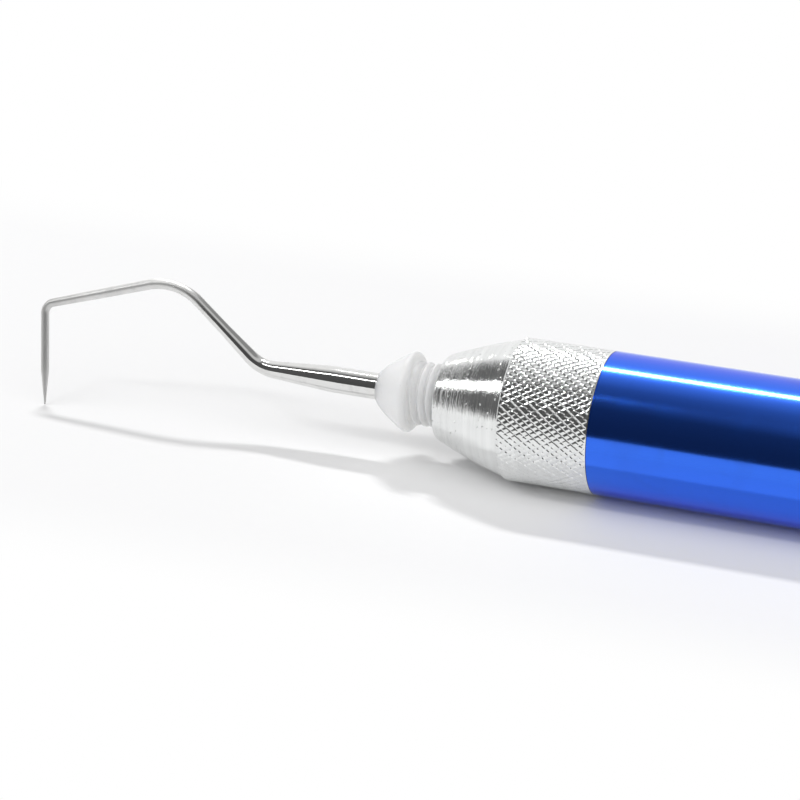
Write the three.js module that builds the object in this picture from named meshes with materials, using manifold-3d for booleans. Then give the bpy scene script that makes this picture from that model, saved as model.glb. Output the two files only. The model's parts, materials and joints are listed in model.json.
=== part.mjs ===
// Vinyl weeding tool with a lamp in its nose: a bent steel hook in a frosted screw-in head,
// a turned and knurled nose collar, a tubular barrel that holds two AAA cells, and a tail cap
// with a push switch.
//
// Millimetres, +Z up. The tool lies on its side along X, with the hook's point at -X and the
// push button at +X. The origin is the middle of the underside of its bounding box.
//
// Along the axis, x is counted from the front face of the nose collar until the last step.

import * as THREE from "three";
import Module from "manifold-3d";
import { mergeVertices } from "three/addons/utils/BufferGeometryUtils.js";

const wasm = await Module();
wasm.setup();

// Clearances

const FIT = 0.1; // radial, of a piece in its bore
const SEAT = 0.3; // axial, between a piece and the face it rests on
const SEAM = 0.05; // the visible seams at both ends of the barrel

// Facets round the axis

const BODY_SIDES = 48;
const INNER_SIDES = 32;
const WIRE_SIDES = 16;

// Body

const BODY_D = 13.4;
const EDGE_CHAMFER = 0.15;

// Hook: shank, rise, arm and pin, in a plane that leans about the tool's axis

const SHANK_LENGTH = 12.23; // from the head to the knee
const SHANK_PLAIN = 4.83; // length of the shank outside the head that doesn't taper
const SHANK_SOCKET = 4.0; // length of the shank inside the head
const RISE = 7.2; // from the axis to the apex, in the hook's plane
const RISE_ANGLE = THREE.MathUtils.degToRad(37.2);
const ARM_SPAN = 13.7; // along the axis, from the apex to the pin
const ARM_ANGLE = THREE.MathUtils.degToRad(17.7);
const PIN_LEAN = THREE.MathUtils.degToRad(-5.9);
const HOOK_ROLL = THREE.MathUtils.degToRad(18.3); // of the plane, about the axis
const TIP_CLEARANCE = 0.1; // from the surface up to the point, which sets the pin's length
const KNEE_BEND = 4.4;
const APEX_BEND = 6.0;
const PIN_BEND = 1.1;
const POINT_LENGTH = 3.4; // of the pin, where it tapers to the point
const BEND_STEP = THREE.MathUtils.degToRad(8);
const LEAST_STEP = 1e-6; // stations closer than this are one
const SHANK_D = 2.52;
const KNEE_D = 1.48;
const RISE_D = 1.14; // half way up the rise
const APEX_D = 1.04;
const ARM_D = 0.96;
const PIN_D = 0.8;
const POINT_D = 0.14;

// Head: a domed plug with a threaded neck, shown partly unscrewed

const HEAD_TIP_D = 3.0;
const DOME_LENGTH = 3.62;
const RIM_D = 7.6;
const RIM_ROUND = 0.45;
const RIM_TURN = 0.7 * Math.PI; // of the rim's round, from its back to the dome
const DOME_PULL_ALONG = 0.22; // of the curve's handle, as a share of the way from tip to rim
const DOME_PULL_OUT = 0.41; // and across
const NECK_D = 6.0;
const NECK_LENGTH = 6.5;
const NECK_CHAMFER = 0.3;
const THREAD_SHOWN = 2.85; // gap between the head's rim and the collar
const LAMP_BORE_DEPTH = 5.2;

// Nose collar: a cone, a band for the fingers and a spigot that screws into the barrel

const CONE_LENGTH = 7.2;
const CONE_FRONT_D = 8.0;
const CONE_EDGE = 0.35;
const CONE_SWELL = 0.17; // half way along the cone, over a straight one
const BAND_LENGTH = 8.6;
const BAND_STEP = 0.15; // height of the band over the cone's end
const SPIGOT_D = 11.9;
const SPIGOT_LENGTH = 5.5;
const SPIGOT_BORE_D = 9.6;
const THREAD_ROOM = 0.5; // run-out past the end of a spigot

// O-rings in the spigots

const RING_WIRE_D = 0.6;
const RING_GROOVE_WIDTH = 0.9;
const RING_GROOVE_DEPTH = 0.65;
const RING_GROOVE_SETBACK = 0.7;
const RING_WIRE_SIDES = 8;

// Lamp and its board

const LAMP_D = 3.0;
const LAMP_LENGTH = 5.3;
const LAMP_FLANGE_D = 3.8;
const LAMP_FLANGE = 1.0;
const LAMP_SETBACK = 3.5; // from the end of the neck, screwed home, to the lamp's base
const LEAD_D = 0.5;
const LEAD_PITCH = 2.54;
const LEAD_HOLE_D = 0.9;
const LEAD_SIDES = 12;
const BOARD_D = 10.2;
const BOARD_THICKNESS = 1.0;
const BOARD_RING_LENGTH = 0.9;
const BOARD_RING_WALL = 0.9;
const RESISTOR_LENGTH = 3.2;
const RESISTOR_WIDTH = 1.6;
const RESISTOR_THICKNESS = 0.6;
const RESISTOR_OFFSET = 2.9; // from the axis
const RESISTOR_ROOM = 2.4; // between the lamp holder and the board
const CONTACT_D = 4.4;
const CONTACT_TIP_D = 2.4;
const CONTACT_HEIGHT = 2.2;
const CONTACT_BASE = 0.4;

// Cells: two AAA, nose to tail

const CELL_LENGTH = 44.5;
const CELL_D = 10.5;
const CELL_FILM = 0.15;
const CELL_CORNER = 0.6;
const NUB_D = 3.8;
const NUB_HEIGHT = 1.0;
const CELL_REST_D = 7.0; // raised face of the negative end
const CELL_REST_HEIGHT = 0.3;

// Barrel

const BARREL_BORE_D = 11.2;

// Battery spring: a cone of round wire that widens towards the switch

const BATTERY_SPRING_LENGTH = 4.7;
const BATTERY_SPRING_WIRE = 0.6;
const BATTERY_SPRING_CURLS = 3.25;
const BATTERY_SPRING_FRONT_D = 4.4;
const BATTERY_SPRING_REAR_D = 6.2;

// Switch

const RIVET_HEAD_D = 6.8;
const RIVET_HEAD = 0.6;
const RIVET_SHANK_D = 2.0;
const RIVET_SHANK = 4.1;
const SWITCH_RING_LENGTH = 1.7;
const SWITCH_RING_WALL = 0.7;
const HOUSING_FLANGE_D = 9.2;
const HOUSING_FLANGE = 1.9;
const HOUSING_D = 8.4;
const HOUSING_LENGTH = 9.3;
const HOUSING_FLOOR = 2.5;
const HOUSING_BORE_D = 6.4;
const WASHER_THICKNESS = 0.7;
const PLUNGER_FLANGE_D = 5.8;
const PLUNGER_FLANGE = 1.3;
const PLUNGER_PIN_D = 2.2;
const PLUNGER_PIN = 2.4;
const PLUNGER_STEM_D = 3.0;
const PLUNGER_STEM = 2.6;
const RETURN_SPRING_D = 4.4; // mean
const RETURN_SPRING_WIRE = 0.4;
const RETURN_SPRING_CURLS = 4.25;
const SLOT_WIDTH = 1.2; // of the spanner slots in both threaded rings
const SLOT_DEPTH = 0.6;

// Tail cap and button

const CAP_SHOULDER_DEPTH = 1.85; // from the cap's front edge to the seat of the switch
const CAP_PLAIN_FRONT = 1.2;
const CAP_BAND_LENGTH = 8.6;
const CAP_END_D = 10.8;
const CAP_END_WALL = 2.2;
const CAP_EDGE = 0.4;
const BUTTON_FLANGE = 1.0;
const BUTTON_D = 6.8;
const BUTTON_PROUD = 1.7;
const BUTTON_DOME = 0.7;

// Places along the axis, from the front face of the nose collar

const rimBackX = -THREAD_SHOWN;
const headFrontX = rimBackX - DOME_LENGTH;
const shankRootX = headFrontX + SHANK_SOCKET;
const lampBaseX = NECK_LENGTH + LAMP_SETBACK;
const holderX = lampBaseX + SEAT;
const coneEndX = CONE_LENGTH;
const bandEndX = coneEndX + BAND_LENGTH;
const spigotEndX = bandEndX + SPIGOT_LENGTH;
const boardRecess = 2 * SEAT + BOARD_THICKNESS + BOARD_RING_LENGTH + FIT;
const boardShoulderX = spigotEndX - boardRecess;
const boardX = boardShoulderX + SEAT;
const boardRingX = boardX + BOARD_THICKNESS + SEAT;
const contactX = boardX + BOARD_THICKNESS + SEAT;
const frontCellX = contactX + CONTACT_HEIGHT + SEAT;
const rearCellX = frontCellX + CELL_LENGTH + SEAT;
const batterySpringX = rearCellX + CELL_LENGTH + SEAT;
const rivetX = batterySpringX + BATTERY_SPRING_LENGTH + SEAT;
const housingX = rivetX + RIVET_HEAD + SEAT;
const switchRingX = housingX - SEAT - SWITCH_RING_LENGTH;
const capShoulderX = housingX + HOUSING_FLANGE + SEAT;
const capFrontX = capShoulderX - CAP_SHOULDER_DEPTH;
const barrelFrontX = bandEndX + SEAM;
const barrelRearX = capFrontX - SEAM;
const cavityFloorX = housingX + HOUSING_FLOOR;
const washerX = housingX + HOUSING_LENGTH + SEAT;
const plungerFlangeX = washerX - SEAT - PLUNGER_FLANGE;
const plungerEndX = plungerFlangeX + PLUNGER_FLANGE + PLUNGER_STEM;
const buttonX = plungerEndX + SEAT;
const endWallX = buttonX + BUTTON_FLANGE + SEAT;
const capEndX = endWallX + CAP_END_WALL;

// Radii that follow from what fits in what

const bodyR = BODY_D / 2;
const neckHoleR = NECK_D / 2 + FIT;
const shankHoleR = SHANK_D / 2 + FIT;
const lampBoreR = LAMP_D / 2 + SEAT;
const spigotR = SPIGOT_D / 2;
const spigotBoreR = SPIGOT_BORE_D / 2;
const boardSeatR = BOARD_D / 2 + FIT;
const barrelThreadR = spigotR + FIT;
const grooveFloorR = spigotR - RING_GROOVE_DEPTH;
const capBoreR = HOUSING_D / 2 + FIT;
const washerR = HOUSING_D / 2;
const buttonHoleR = BUTTON_D / 2 + FIT;

// Finishes

function finish(color, metalness, roughness) {
  return new THREE.MeshStandardMaterial({ color, metalness, roughness });
}

const POLISHED_STEEL = [0xc9c9c6, 1.0, 0.12];
const FROSTED_PLASTIC = [0xe6e8e4, 0.0, 0.45];
const TURNED_ALUMINIUM = [0xd9dbd9, 1.0, 0.3];
const BLUE_ANODISED = [0x1238b4, 0.9, 0.15];
const RUBBER = [0x1c1c1e, 0.0, 0.8];
const LAMP_EPOXY = [0xf4f5ee, 0.0, 0.1];
const TINNED_WIRE = [0xb9bbbd, 1.0, 0.35];
const BLACK_PLASTIC = [0x202123, 0.0, 0.55];
const WHITE_PLASTIC = [0xe9e9e6, 0.0, 0.5];
const BOARD_GREEN = [0x1f6b3a, 0.0, 0.5];
const BRASS = [0xc9a24b, 1.0, 0.3];
const SPRING_STEEL = [0xa9abad, 1.0, 0.3];
const CELL_STEEL = [0xb4b6b8, 1.0, 0.35];
const CELL_LABEL = [0x3a3f46, 0.0, 0.45];
const CHIP_BLACK = [0x17181a, 0.0, 0.6];

const tool = new THREE.Group();

function addPiece(group, name, geometry, look) {
  const piece = new THREE.Mesh(geometry, finish(...look));
  piece.name = name;
  group.add(piece);
  return piece;
}

// Solids of revolution. An outline lists [along, radius] pairs, forwards over the outside and
// back through the bore. One that doesn't meet the axis is closed on its first point. A facet,
// and not an edge, faces down, so that the body lies on a flat.

function turned(outline, sides) {
  const points = outline.map(([along, radius]) => new THREE.Vector2(radius, along));
  if (outline[0][1] > 0) {
    points.push(points[0].clone());
  }
  return new THREE.LatheGeometry(points, sides, Math.PI / sides);
}

function addTurned(group, name, x, outline, sides, look) {
  const piece = addPiece(group, name, turned(outline, sides), look);
  piece.rotation.z = -Math.PI / 2;
  piece.position.x = x;
  return piece;
}

// Cuts, made in the frame of the turned outline, with the axis along Y

const MERGE_WITHIN = 1e-4; // vertices this close become one

function toSolid(geometry) {
  const bare = geometry.clone();
  bare.deleteAttribute("normal");
  bare.deleteAttribute("uv");
  const merged = mergeVertices(bare, MERGE_WITHIN);
  return new wasm.Manifold(
    new wasm.Mesh({
      numProp: 3,
      vertProperties: new Float32Array(merged.attributes.position.array),
      triVerts: new Uint32Array(withoutSlivers(merged.index.array)),
    }),
  );
}

// Merging the vertices on the axis leaves triangles with two equal corners: these go.
function withoutSlivers(index) {
  const kept = [];
  for (let i = 0; i < index.length; i += 3) {
    const [a, b, c] = [index[i], index[i + 1], index[i + 2]];
    if (a !== b && b !== c && c !== a) {
      kept.push(a, b, c);
    }
  }
  return kept;
}

function toGeometry(solid) {
  const mesh = solid.getMesh();
  const geometry = new THREE.BufferGeometry();
  geometry.setAttribute("position", new THREE.BufferAttribute(mesh.vertProperties, 3));
  geometry.setIndex(new THREE.BufferAttribute(mesh.triVerts, 1));
  geometry.computeVertexNormals();
  return geometry;
}

function cut(geometry, cutters) {
  let solid = toSolid(geometry);
  for (const cutter of cutters) {
    solid = solid.subtract(toSolid(cutter));
  }
  return toGeometry(solid);
}

// Two lead holes along the axis, through anything up to the given length

function leadHoles(length) {
  return [-1, 1].map((side) => {
    const hole = new THREE.CylinderGeometry(LEAD_HOLE_D / 2, LEAD_HOLE_D / 2, 4 * length, LEAD_SIDES);
    return hole.translate((side * LEAD_PITCH) / 2, 0, 0);
  });
}

// One spanner slot right across a face of a threaded ring

function spannerSlot(outerR, faceAt) {
  const slot = new THREE.BoxGeometry(4 * outerR, 2 * SLOT_DEPTH, SLOT_WIDTH);
  return slot.translate(0, faceAt, 0);
}

// Springs: one tube along a helix, whose radius changes evenly from end to end

const CURL_STEPS = 8;
const CURL_SIDES = 5;
const GAP_SAMPLES = 40;

class Helix extends THREE.Curve {
  constructor(frontR, rearR, length, curls) {
    super();
    Object.assign(this, { frontR, rearR, length, curls });
  }

  getPoint(t, target = new THREE.Vector3()) {
    const angle = 2 * Math.PI * this.curls * t;
    const radius = THREE.MathUtils.lerp(this.frontR, this.rearR, t);
    return target.set(this.length * t, radius * Math.sin(angle), radius * Math.cos(angle));
  }
}

function leastGap(helix, wire) {
  const count = Math.round(helix.curls * GAP_SAMPLES);
  const points = Array.from({ length: count + 1 }, (_, i) => helix.getPoint(i / count));
  const apart = GAP_SAMPLES / 2;
  let least = Infinity;
  for (let i = 0; i <= count; i++) {
    for (let j = i + apart; j <= count; j++) {
      least = Math.min(least, points[i].distanceTo(points[j]));
    }
  }
  return least - wire;
}

function addSpring(group, name, x, { frontD, rearD, length, wire, curls }) {
  const helix = new Helix(frontD / 2, rearD / 2, length - wire, curls);
  const section = new THREE.Shape();
  for (let i = 0; i < CURL_SIDES; i++) {
    const angle = (2 * Math.PI * i) / CURL_SIDES;
    const corner = [(wire / 2) * Math.cos(angle), (wire / 2) * Math.sin(angle)];
    if (i === 0) {
      section.moveTo(...corner);
    } else {
      section.lineTo(...corner);
    }
  }
  section.closePath();
  const steps = Math.round(CURL_STEPS * curls);
  const coil = new THREE.ExtrudeGeometry(section, { steps, extrudePath: helix });
  const spring = addPiece(group, name, coil, SPRING_STEEL);
  spring.position.x = x + wire / 2;
  console.log(`${name}: least gap to itself ${leastGap(helix, wire).toFixed(2)} mm`);
  return spring;
}

// Hook: a tapered pin, turned straight and then bent along a route of lines and arcs

// A route in a plane that rounds each inner corner with an arc of the given radius
function roundedRoute(corners, bends) {
  const route = new THREE.Path();
  route.moveTo(corners[0].x, corners[0].y);
  for (let i = 1; i < corners.length - 1; i++) {
    const into = corners[i].clone().sub(corners[i - 1]).normalize();
    const out = corners[i + 1].clone().sub(corners[i]).normalize();
    const side = Math.sign(into.cross(out));
    const turn = Math.abs(Math.atan2(into.cross(out), into.dot(out)));
    const reach = bends[i - 1] * Math.tan(turn / 2);
    const start = corners[i].clone().addScaledVector(into, -reach);
    const across = new THREE.Vector2(-into.y, into.x).multiplyScalar(side);
    const centre = start.clone().addScaledVector(across, bends[i - 1]);
    const from = Math.atan2(-across.y, -across.x);
    route.lineTo(start.x, start.y);
    route.absarc(centre.x, centre.y, bends[i - 1], from, from + side * turn, side < 0);
  }
  const last = corners[corners.length - 1];
  route.lineTo(last.x, last.y);
  return route;
}

function hookRoute() {
  const knee = new THREE.Vector2(headFrontX - SHANK_LENGTH, 0);
  const apex = new THREE.Vector2(knee.x - RISE / Math.tan(RISE_ANGLE), RISE);
  const corner = new THREE.Vector2(apex.x - ARM_SPAN, RISE - ARM_SPAN * Math.tan(ARM_ANGLE));
  const tipZ = (TIP_CLEARANCE - bodyR) / Math.cos(HOOK_ROLL);
  const tip = new THREE.Vector2(corner.x - (corner.y - tipZ) * Math.tan(PIN_LEAN), tipZ);
  const root = new THREE.Vector2(shankRootX, 0);
  return roundedRoute([root, knee, apex, corner, tip], [KNEE_BEND, APEX_BEND, PIN_BEND]);
}

// Stations along the route: the ends of its straights, and even steps round its bends.
// The list is [distance, diameter], with the diameters changing evenly between named places.
function hookStations(route) {
  const ends = route.getCurveLengths();
  const starts = [0, ...ends.slice(0, -1)];
  const total = ends[ends.length - 1];
  const middle = (i) => (starts[i] + ends[i]) / 2;
  const [kneeArc, riseRun, apexArc, armRun, pinArc] = [1, 2, 3, 4, 5];
  const places = [
    [0, SHANK_D],
    [SHANK_SOCKET + SHANK_PLAIN, SHANK_D],
    [middle(kneeArc), KNEE_D],
    [middle(riseRun), RISE_D],
    [middle(apexArc), APEX_D],
    [middle(armRun), ARM_D],
    [middle(pinArc), PIN_D],
    [total - POINT_LENGTH, PIN_D],
    [total, POINT_D],
  ];
  const distances = new Set(places.map(([place]) => place));
  for (const [i, curve] of route.curves.entries()) {
    const bend = curve.isEllipseCurve ? Math.abs(curve.aEndAngle - curve.aStartAngle) : 0;
    const steps = Math.max(1, Math.ceil(bend / BEND_STEP));
    for (let step = 0; step <= steps; step++) {
      distances.add(THREE.MathUtils.lerp(starts[i], ends[i], step / steps));
    }
  }
  const sorted = [...distances].sort((a, b) => a - b);
  const apart = sorted.filter((d, i) => i === 0 || d - sorted[i - 1] > LEAST_STEP);
  return apart.map((distance) => [distance, diameterAt(places, distance)]);
}

function diameterAt(places, distance) {
  const next = Math.max(1, places.findIndex(([place]) => place >= distance));
  const [from, fromD] = places[next - 1];
  const [to, toD] = places[next];
  return THREE.MathUtils.mapLinear(distance, from, to, fromD, toD);
}

function bentHook() {
  const route = hookRoute();
  const stations = hookStations(route);
  const total = stations[stations.length - 1][0];
  const outline = stations.map(([distance, diameter]) => [distance, diameter / 2]);
  const pin = turned([[0, 0], ...outline, [total, 0]], WIRE_SIDES);
  const position = pin.attributes.position;
  const place = new THREE.Vector3();
  for (let i = 0; i < position.count; i++) {
    place.fromBufferAttribute(position, i);
    const t = THREE.MathUtils.clamp(place.y / total, 0, 1);
    const centre = route.getPoint(t);
    const along = route.getTangent(t);
    const x = centre.x - along.y * place.x;
    const z = centre.y + along.x * place.x;
    position.setXYZ(i, x, place.z, z);
  }
  return pin;
}

const hook = addPiece(tool, "hook_needle", bentHook(), POLISHED_STEEL);
hook.rotation.x = -HOOK_ROLL;

// Head: a dome with a rounded rim, a neck, a socket for the shank and a bore for the lamp

const RIM_STEPS = 5;
const DOME_STEPS = 6;

function rimArc() {
  const centreAlong = DOME_LENGTH - RIM_ROUND;
  const centreR = RIM_D / 2 - RIM_ROUND;
  const arc = [];
  for (let i = 0; i <= RIM_STEPS; i++) {
    const angle = THREE.MathUtils.lerp(RIM_TURN, 0, i / RIM_STEPS);
    arc.push([centreAlong + RIM_ROUND * Math.cos(angle), centreR + RIM_ROUND * Math.sin(angle)]);
  }
  return arc;
}

// The dome is blunt at its tip and flattens towards its rim.
function domeCurve(rimStart) {
  const tip = new THREE.Vector2(0, HEAD_TIP_D / 2);
  const rim = new THREE.Vector2(...rimStart);
  const across = THREE.MathUtils.lerp(tip.y, rim.y, DOME_PULL_OUT);
  const handle = new THREE.Vector2(rim.x * DOME_PULL_ALONG, across);
  const curve = new THREE.QuadraticBezierCurve(tip, handle, rim);
  return curve.getPoints(DOME_STEPS).slice(0, -1).map((point) => [point.x, point.y]);
}

const rim = rimArc();
const neckEnd = DOME_LENGTH + NECK_LENGTH;
addTurned(
  tool,
  "hook_head",
  headFrontX,
  [
    [SHANK_SOCKET + SEAT, 0],
    [SHANK_SOCKET + SEAT, shankHoleR],
    [0, shankHoleR],
    ...domeCurve(rim[0]),
    ...rim,
    [DOME_LENGTH, NECK_D / 2],
    [neckEnd - NECK_CHAMFER, NECK_D / 2],
    [neckEnd, NECK_D / 2 - NECK_CHAMFER],
    [neckEnd, lampBoreR],
    [neckEnd - LAMP_BORE_DEPTH, lampBoreR],
    [neckEnd - LAMP_BORE_DEPTH, 0],
  ],
  INNER_SIDES,
  FROSTED_PLASTIC,
);

// A groove for an O-ring, as outline points that run rearwards
function ringGroove(start) {
  return [
    [start, spigotR],
    [start, grooveFloorR],
    [start + RING_GROOVE_WIDTH, grooveFloorR],
    [start + RING_GROOVE_WIDTH, spigotR],
  ];
}

function addRing(group, name, grooveX) {
  const ringR = grooveFloorR + SEAM + RING_WIRE_D / 2;
  const ring = new THREE.TorusGeometry(ringR, RING_WIRE_D / 2, RING_WIRE_SIDES, BODY_SIDES);
  const piece = addPiece(group, name, ring, RUBBER);
  piece.rotation.y = Math.PI / 2;
  piece.position.x = grooveX + RING_GROOVE_WIDTH / 2;
  return piece;
}

// Nose collar

const noseGrooveX = bandEndX + RING_GROOVE_SETBACK;
const coneFrontR = CONE_FRONT_D / 2 + EDGE_CHAMFER / 2;
const coneEndR = bodyR - BAND_STEP;
addTurned(
  tool,
  "nose_collar",
  0,
  [
    [0, neckHoleR + EDGE_CHAMFER],
    [0, CONE_FRONT_D / 2 - CONE_EDGE],
    [CONE_EDGE, coneFrontR],
    [coneEndX / 2, (coneFrontR + coneEndR) / 2 + CONE_SWELL],
    [coneEndX, coneEndR],
    [coneEndX + EDGE_CHAMFER, bodyR],
    [bandEndX - EDGE_CHAMFER, bodyR],
    [bandEndX, bodyR - EDGE_CHAMFER],
    [bandEndX, spigotR],
    ...ringGroove(noseGrooveX),
    [spigotEndX - EDGE_CHAMFER, spigotR],
    [spigotEndX, spigotR - EDGE_CHAMFER],
    [spigotEndX, boardSeatR],
    [boardShoulderX, boardSeatR],
    [boardShoulderX, spigotBoreR],
    [lampBaseX, spigotBoreR],
    [lampBaseX, neckHoleR],
    [EDGE_CHAMFER, neckHoleR],
  ],
  BODY_SIDES,
  TURNED_ALUMINIUM,
);
addRing(tool, "nose_o_ring", noseGrooveX);

// Lamp: a domed epoxy body on a flange, with two leads through a holder to the board

const DOME_FACETS = 5;

function lampDome() {
  const radius = LAMP_D / 2;
  const dome = [];
  for (let i = 0; i <= DOME_FACETS; i++) {
    const angle = (Math.PI / 2) * (i / DOME_FACETS);
    dome.push([radius - radius * Math.cos(angle), radius * Math.sin(angle)]);
  }
  return dome;
}

addTurned(
  tool,
  "led_lamp",
  lampBaseX - LAMP_LENGTH,
  [
    ...lampDome(),
    [LAMP_LENGTH - LAMP_FLANGE, LAMP_D / 2],
    [LAMP_LENGTH - LAMP_FLANGE, LAMP_FLANGE_D / 2],
    [LAMP_LENGTH, LAMP_FLANGE_D / 2],
    [LAMP_LENGTH, 0],
  ],
  INNER_SIDES,
  LAMP_EPOXY,
);

const leadStartX = lampBaseX + FIT;
const leadEndX = boardX + BOARD_THICKNESS - FIT;
for (const [name, side] of [["led_lead_plus", 1], ["led_lead_minus", -1]]) {
  const wire = new THREE.CylinderGeometry(LEAD_D / 2, LEAD_D / 2, leadEndX - leadStartX, LEAD_SIDES);
  const lead = addPiece(tool, name, wire, TINNED_WIRE);
  lead.rotation.z = -Math.PI / 2;
  lead.position.set((leadStartX + leadEndX) / 2, (side * LEAD_PITCH) / 2, 0);
}

function disc(radius, length) {
  return turned([[0, 0], [0, radius], [length, radius], [length, 0]], INNER_SIDES);
}

const holderLength = boardX - RESISTOR_ROOM - holderX;
const holder = addPiece(
  tool,
  "led_holder",
  cut(disc(spigotBoreR - FIT, holderLength), leadHoles(holderLength)),
  WHITE_PLASTIC,
);
holder.rotation.z = -Math.PI / 2;
holder.position.x = holderX;

const board = addPiece(
  tool,
  "led_board",
  cut(disc(BOARD_D / 2, BOARD_THICKNESS), leadHoles(BOARD_THICKNESS)),
  BOARD_GREEN,
);
board.rotation.z = -Math.PI / 2;
board.position.x = boardX;

const resistor = addPiece(
  tool,
  "resistor",
  new THREE.BoxGeometry(RESISTOR_THICKNESS, RESISTOR_LENGTH, RESISTOR_WIDTH),
  CHIP_BLACK,
);
resistor.position.set(boardX - FIT - RESISTOR_THICKNESS / 2, 0, RESISTOR_OFFSET);

// A threaded ring with a spanner slot across its outer face
function addSlottedRing(name, x, outerR, wall, length, slotAt) {
  const boreR = outerR - wall;
  const ring = turned([[0, boreR], [0, outerR], [length, outerR], [length, boreR]], INNER_SIDES);
  const piece = addPiece(tool, name, cut(ring, [spannerSlot(outerR, slotAt)]), BRASS);
  piece.rotation.z = -Math.PI / 2;
  piece.position.x = x;
}

addSlottedRing(
  "board_ring",
  boardRingX,
  BOARD_D / 2,
  BOARD_RING_WALL,
  BOARD_RING_LENGTH,
  BOARD_RING_LENGTH,
);

addTurned(
  tool,
  "centre_contact",
  contactX,
  [
    [0, 0],
    [0, CONTACT_D / 2],
    [CONTACT_BASE, CONTACT_D / 2],
    [CONTACT_HEIGHT - CONTACT_BASE, CONTACT_TIP_D / 2],
    [CONTACT_HEIGHT, CONTACT_TIP_D / 2 - CONTACT_BASE],
    [CONTACT_HEIGHT, 0],
  ],
  INNER_SIDES,
  BRASS,
);

// Barrel: a tube, bored wider at both ends for the spigots

const barrelLength = barrelRearX - barrelFrontX;
const noseThread = spigotEndX + THREAD_ROOM - barrelFrontX;
const tailThread = barrelLength - SPIGOT_LENGTH - THREAD_ROOM;
addTurned(
  tool,
  "barrel",
  barrelFrontX,
  [
    [0, barrelThreadR],
    [0, bodyR - EDGE_CHAMFER],
    [EDGE_CHAMFER, bodyR],
    [barrelLength - EDGE_CHAMFER, bodyR],
    [barrelLength, bodyR - EDGE_CHAMFER],
    [barrelLength, barrelThreadR],
    [tailThread, barrelThreadR],
    [tailThread, BARREL_BORE_D / 2],
    [noseThread, BARREL_BORE_D / 2],
    [noseThread, barrelThreadR],
  ],
  BODY_SIDES,
  BLUE_ANODISED,
);

// Cells: a steel can with its nub forwards, in a film that leaves both ends bare

const canR = CELL_D / 2 - CELL_FILM - SEAM;
for (const [place, x] of [["front", frontCellX], ["rear", rearCellX]]) {
  addTurned(
    tool,
    `battery_${place}_can`,
    x,
    [
      [0, 0],
      [0, NUB_D / 2],
      [NUB_HEIGHT, NUB_D / 2],
      [NUB_HEIGHT, canR - CELL_CORNER],
      [NUB_HEIGHT + CELL_CORNER, canR],
      [CELL_LENGTH - CELL_REST_HEIGHT - CELL_CORNER, canR],
      [CELL_LENGTH - CELL_REST_HEIGHT, canR - CELL_CORNER],
      [CELL_LENGTH - CELL_REST_HEIGHT, CELL_REST_D / 2],
      [CELL_LENGTH, CELL_REST_D / 2],
      [CELL_LENGTH, 0],
    ],
    INNER_SIDES,
    CELL_STEEL,
  );
  const filmStart = NUB_HEIGHT + CELL_CORNER;
  const filmLength = CELL_LENGTH - CELL_REST_HEIGHT - CELL_CORNER - filmStart;
  addTurned(
    tool,
    `battery_${place}_sleeve`,
    x + filmStart,
    [
      [0, canR + SEAM],
      [0, CELL_D / 2],
      [filmLength, CELL_D / 2],
      [filmLength, canR + SEAM],
    ],
    INNER_SIDES,
    CELL_LABEL,
  );
}

addSpring(tool, "battery_spring", batterySpringX, {
  frontD: BATTERY_SPRING_FRONT_D,
  rearD: BATTERY_SPRING_REAR_D,
  length: BATTERY_SPRING_LENGTH,
  wire: BATTERY_SPRING_WIRE,
  curls: BATTERY_SPRING_CURLS,
});

// Switch: the button pushes the plunger's pin towards the rivet

addTurned(
  tool,
  "contact_rivet",
  rivetX,
  [
    [0, 0],
    [0, RIVET_HEAD_D / 2],
    [RIVET_HEAD, RIVET_HEAD_D / 2],
    [RIVET_HEAD, RIVET_SHANK_D / 2],
    [RIVET_HEAD + RIVET_SHANK, RIVET_SHANK_D / 2],
    [RIVET_HEAD + RIVET_SHANK, 0],
  ],
  INNER_SIDES,
  BRASS,
);

addTurned(
  tool,
  "switch_housing",
  housingX,
  [
    [0, RIVET_SHANK_D / 2 + FIT],
    [0, HOUSING_FLANGE_D / 2],
    [HOUSING_FLANGE, HOUSING_FLANGE_D / 2],
    [HOUSING_FLANGE, HOUSING_D / 2],
    [HOUSING_LENGTH, HOUSING_D / 2],
    [HOUSING_LENGTH, HOUSING_BORE_D / 2],
    [HOUSING_FLOOR, HOUSING_BORE_D / 2],
    [HOUSING_FLOOR, RIVET_SHANK_D / 2 + FIT],
  ],
  INNER_SIDES,
  BLACK_PLASTIC,
);

addSlottedRing(
  "switch_ring",
  switchRingX,
  HOUSING_FLANGE_D / 2,
  SWITCH_RING_WALL,
  SWITCH_RING_LENGTH,
  0,
);

const returnSpringX = cavityFloorX + SEAT;
addSpring(tool, "return_spring", returnSpringX, {
  frontD: RETURN_SPRING_D,
  rearD: RETURN_SPRING_D,
  length: plungerFlangeX - SEAT - returnSpringX,
  wire: RETURN_SPRING_WIRE,
  curls: RETURN_SPRING_CURLS,
});

addTurned(
  tool,
  "switch_plunger",
  plungerFlangeX - PLUNGER_PIN,
  [
    [0, 0],
    [0, PLUNGER_PIN_D / 2 - EDGE_CHAMFER],
    [EDGE_CHAMFER, PLUNGER_PIN_D / 2],
    [PLUNGER_PIN, PLUNGER_PIN_D / 2],
    [PLUNGER_PIN, PLUNGER_FLANGE_D / 2],
    [PLUNGER_PIN + PLUNGER_FLANGE, PLUNGER_FLANGE_D / 2],
    [PLUNGER_PIN + PLUNGER_FLANGE, PLUNGER_STEM_D / 2],
    [PLUNGER_PIN + PLUNGER_FLANGE + PLUNGER_STEM, PLUNGER_STEM_D / 2],
    [PLUNGER_PIN + PLUNGER_FLANGE + PLUNGER_STEM, 0],
  ],
  INNER_SIDES,
  BRASS,
);

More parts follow.
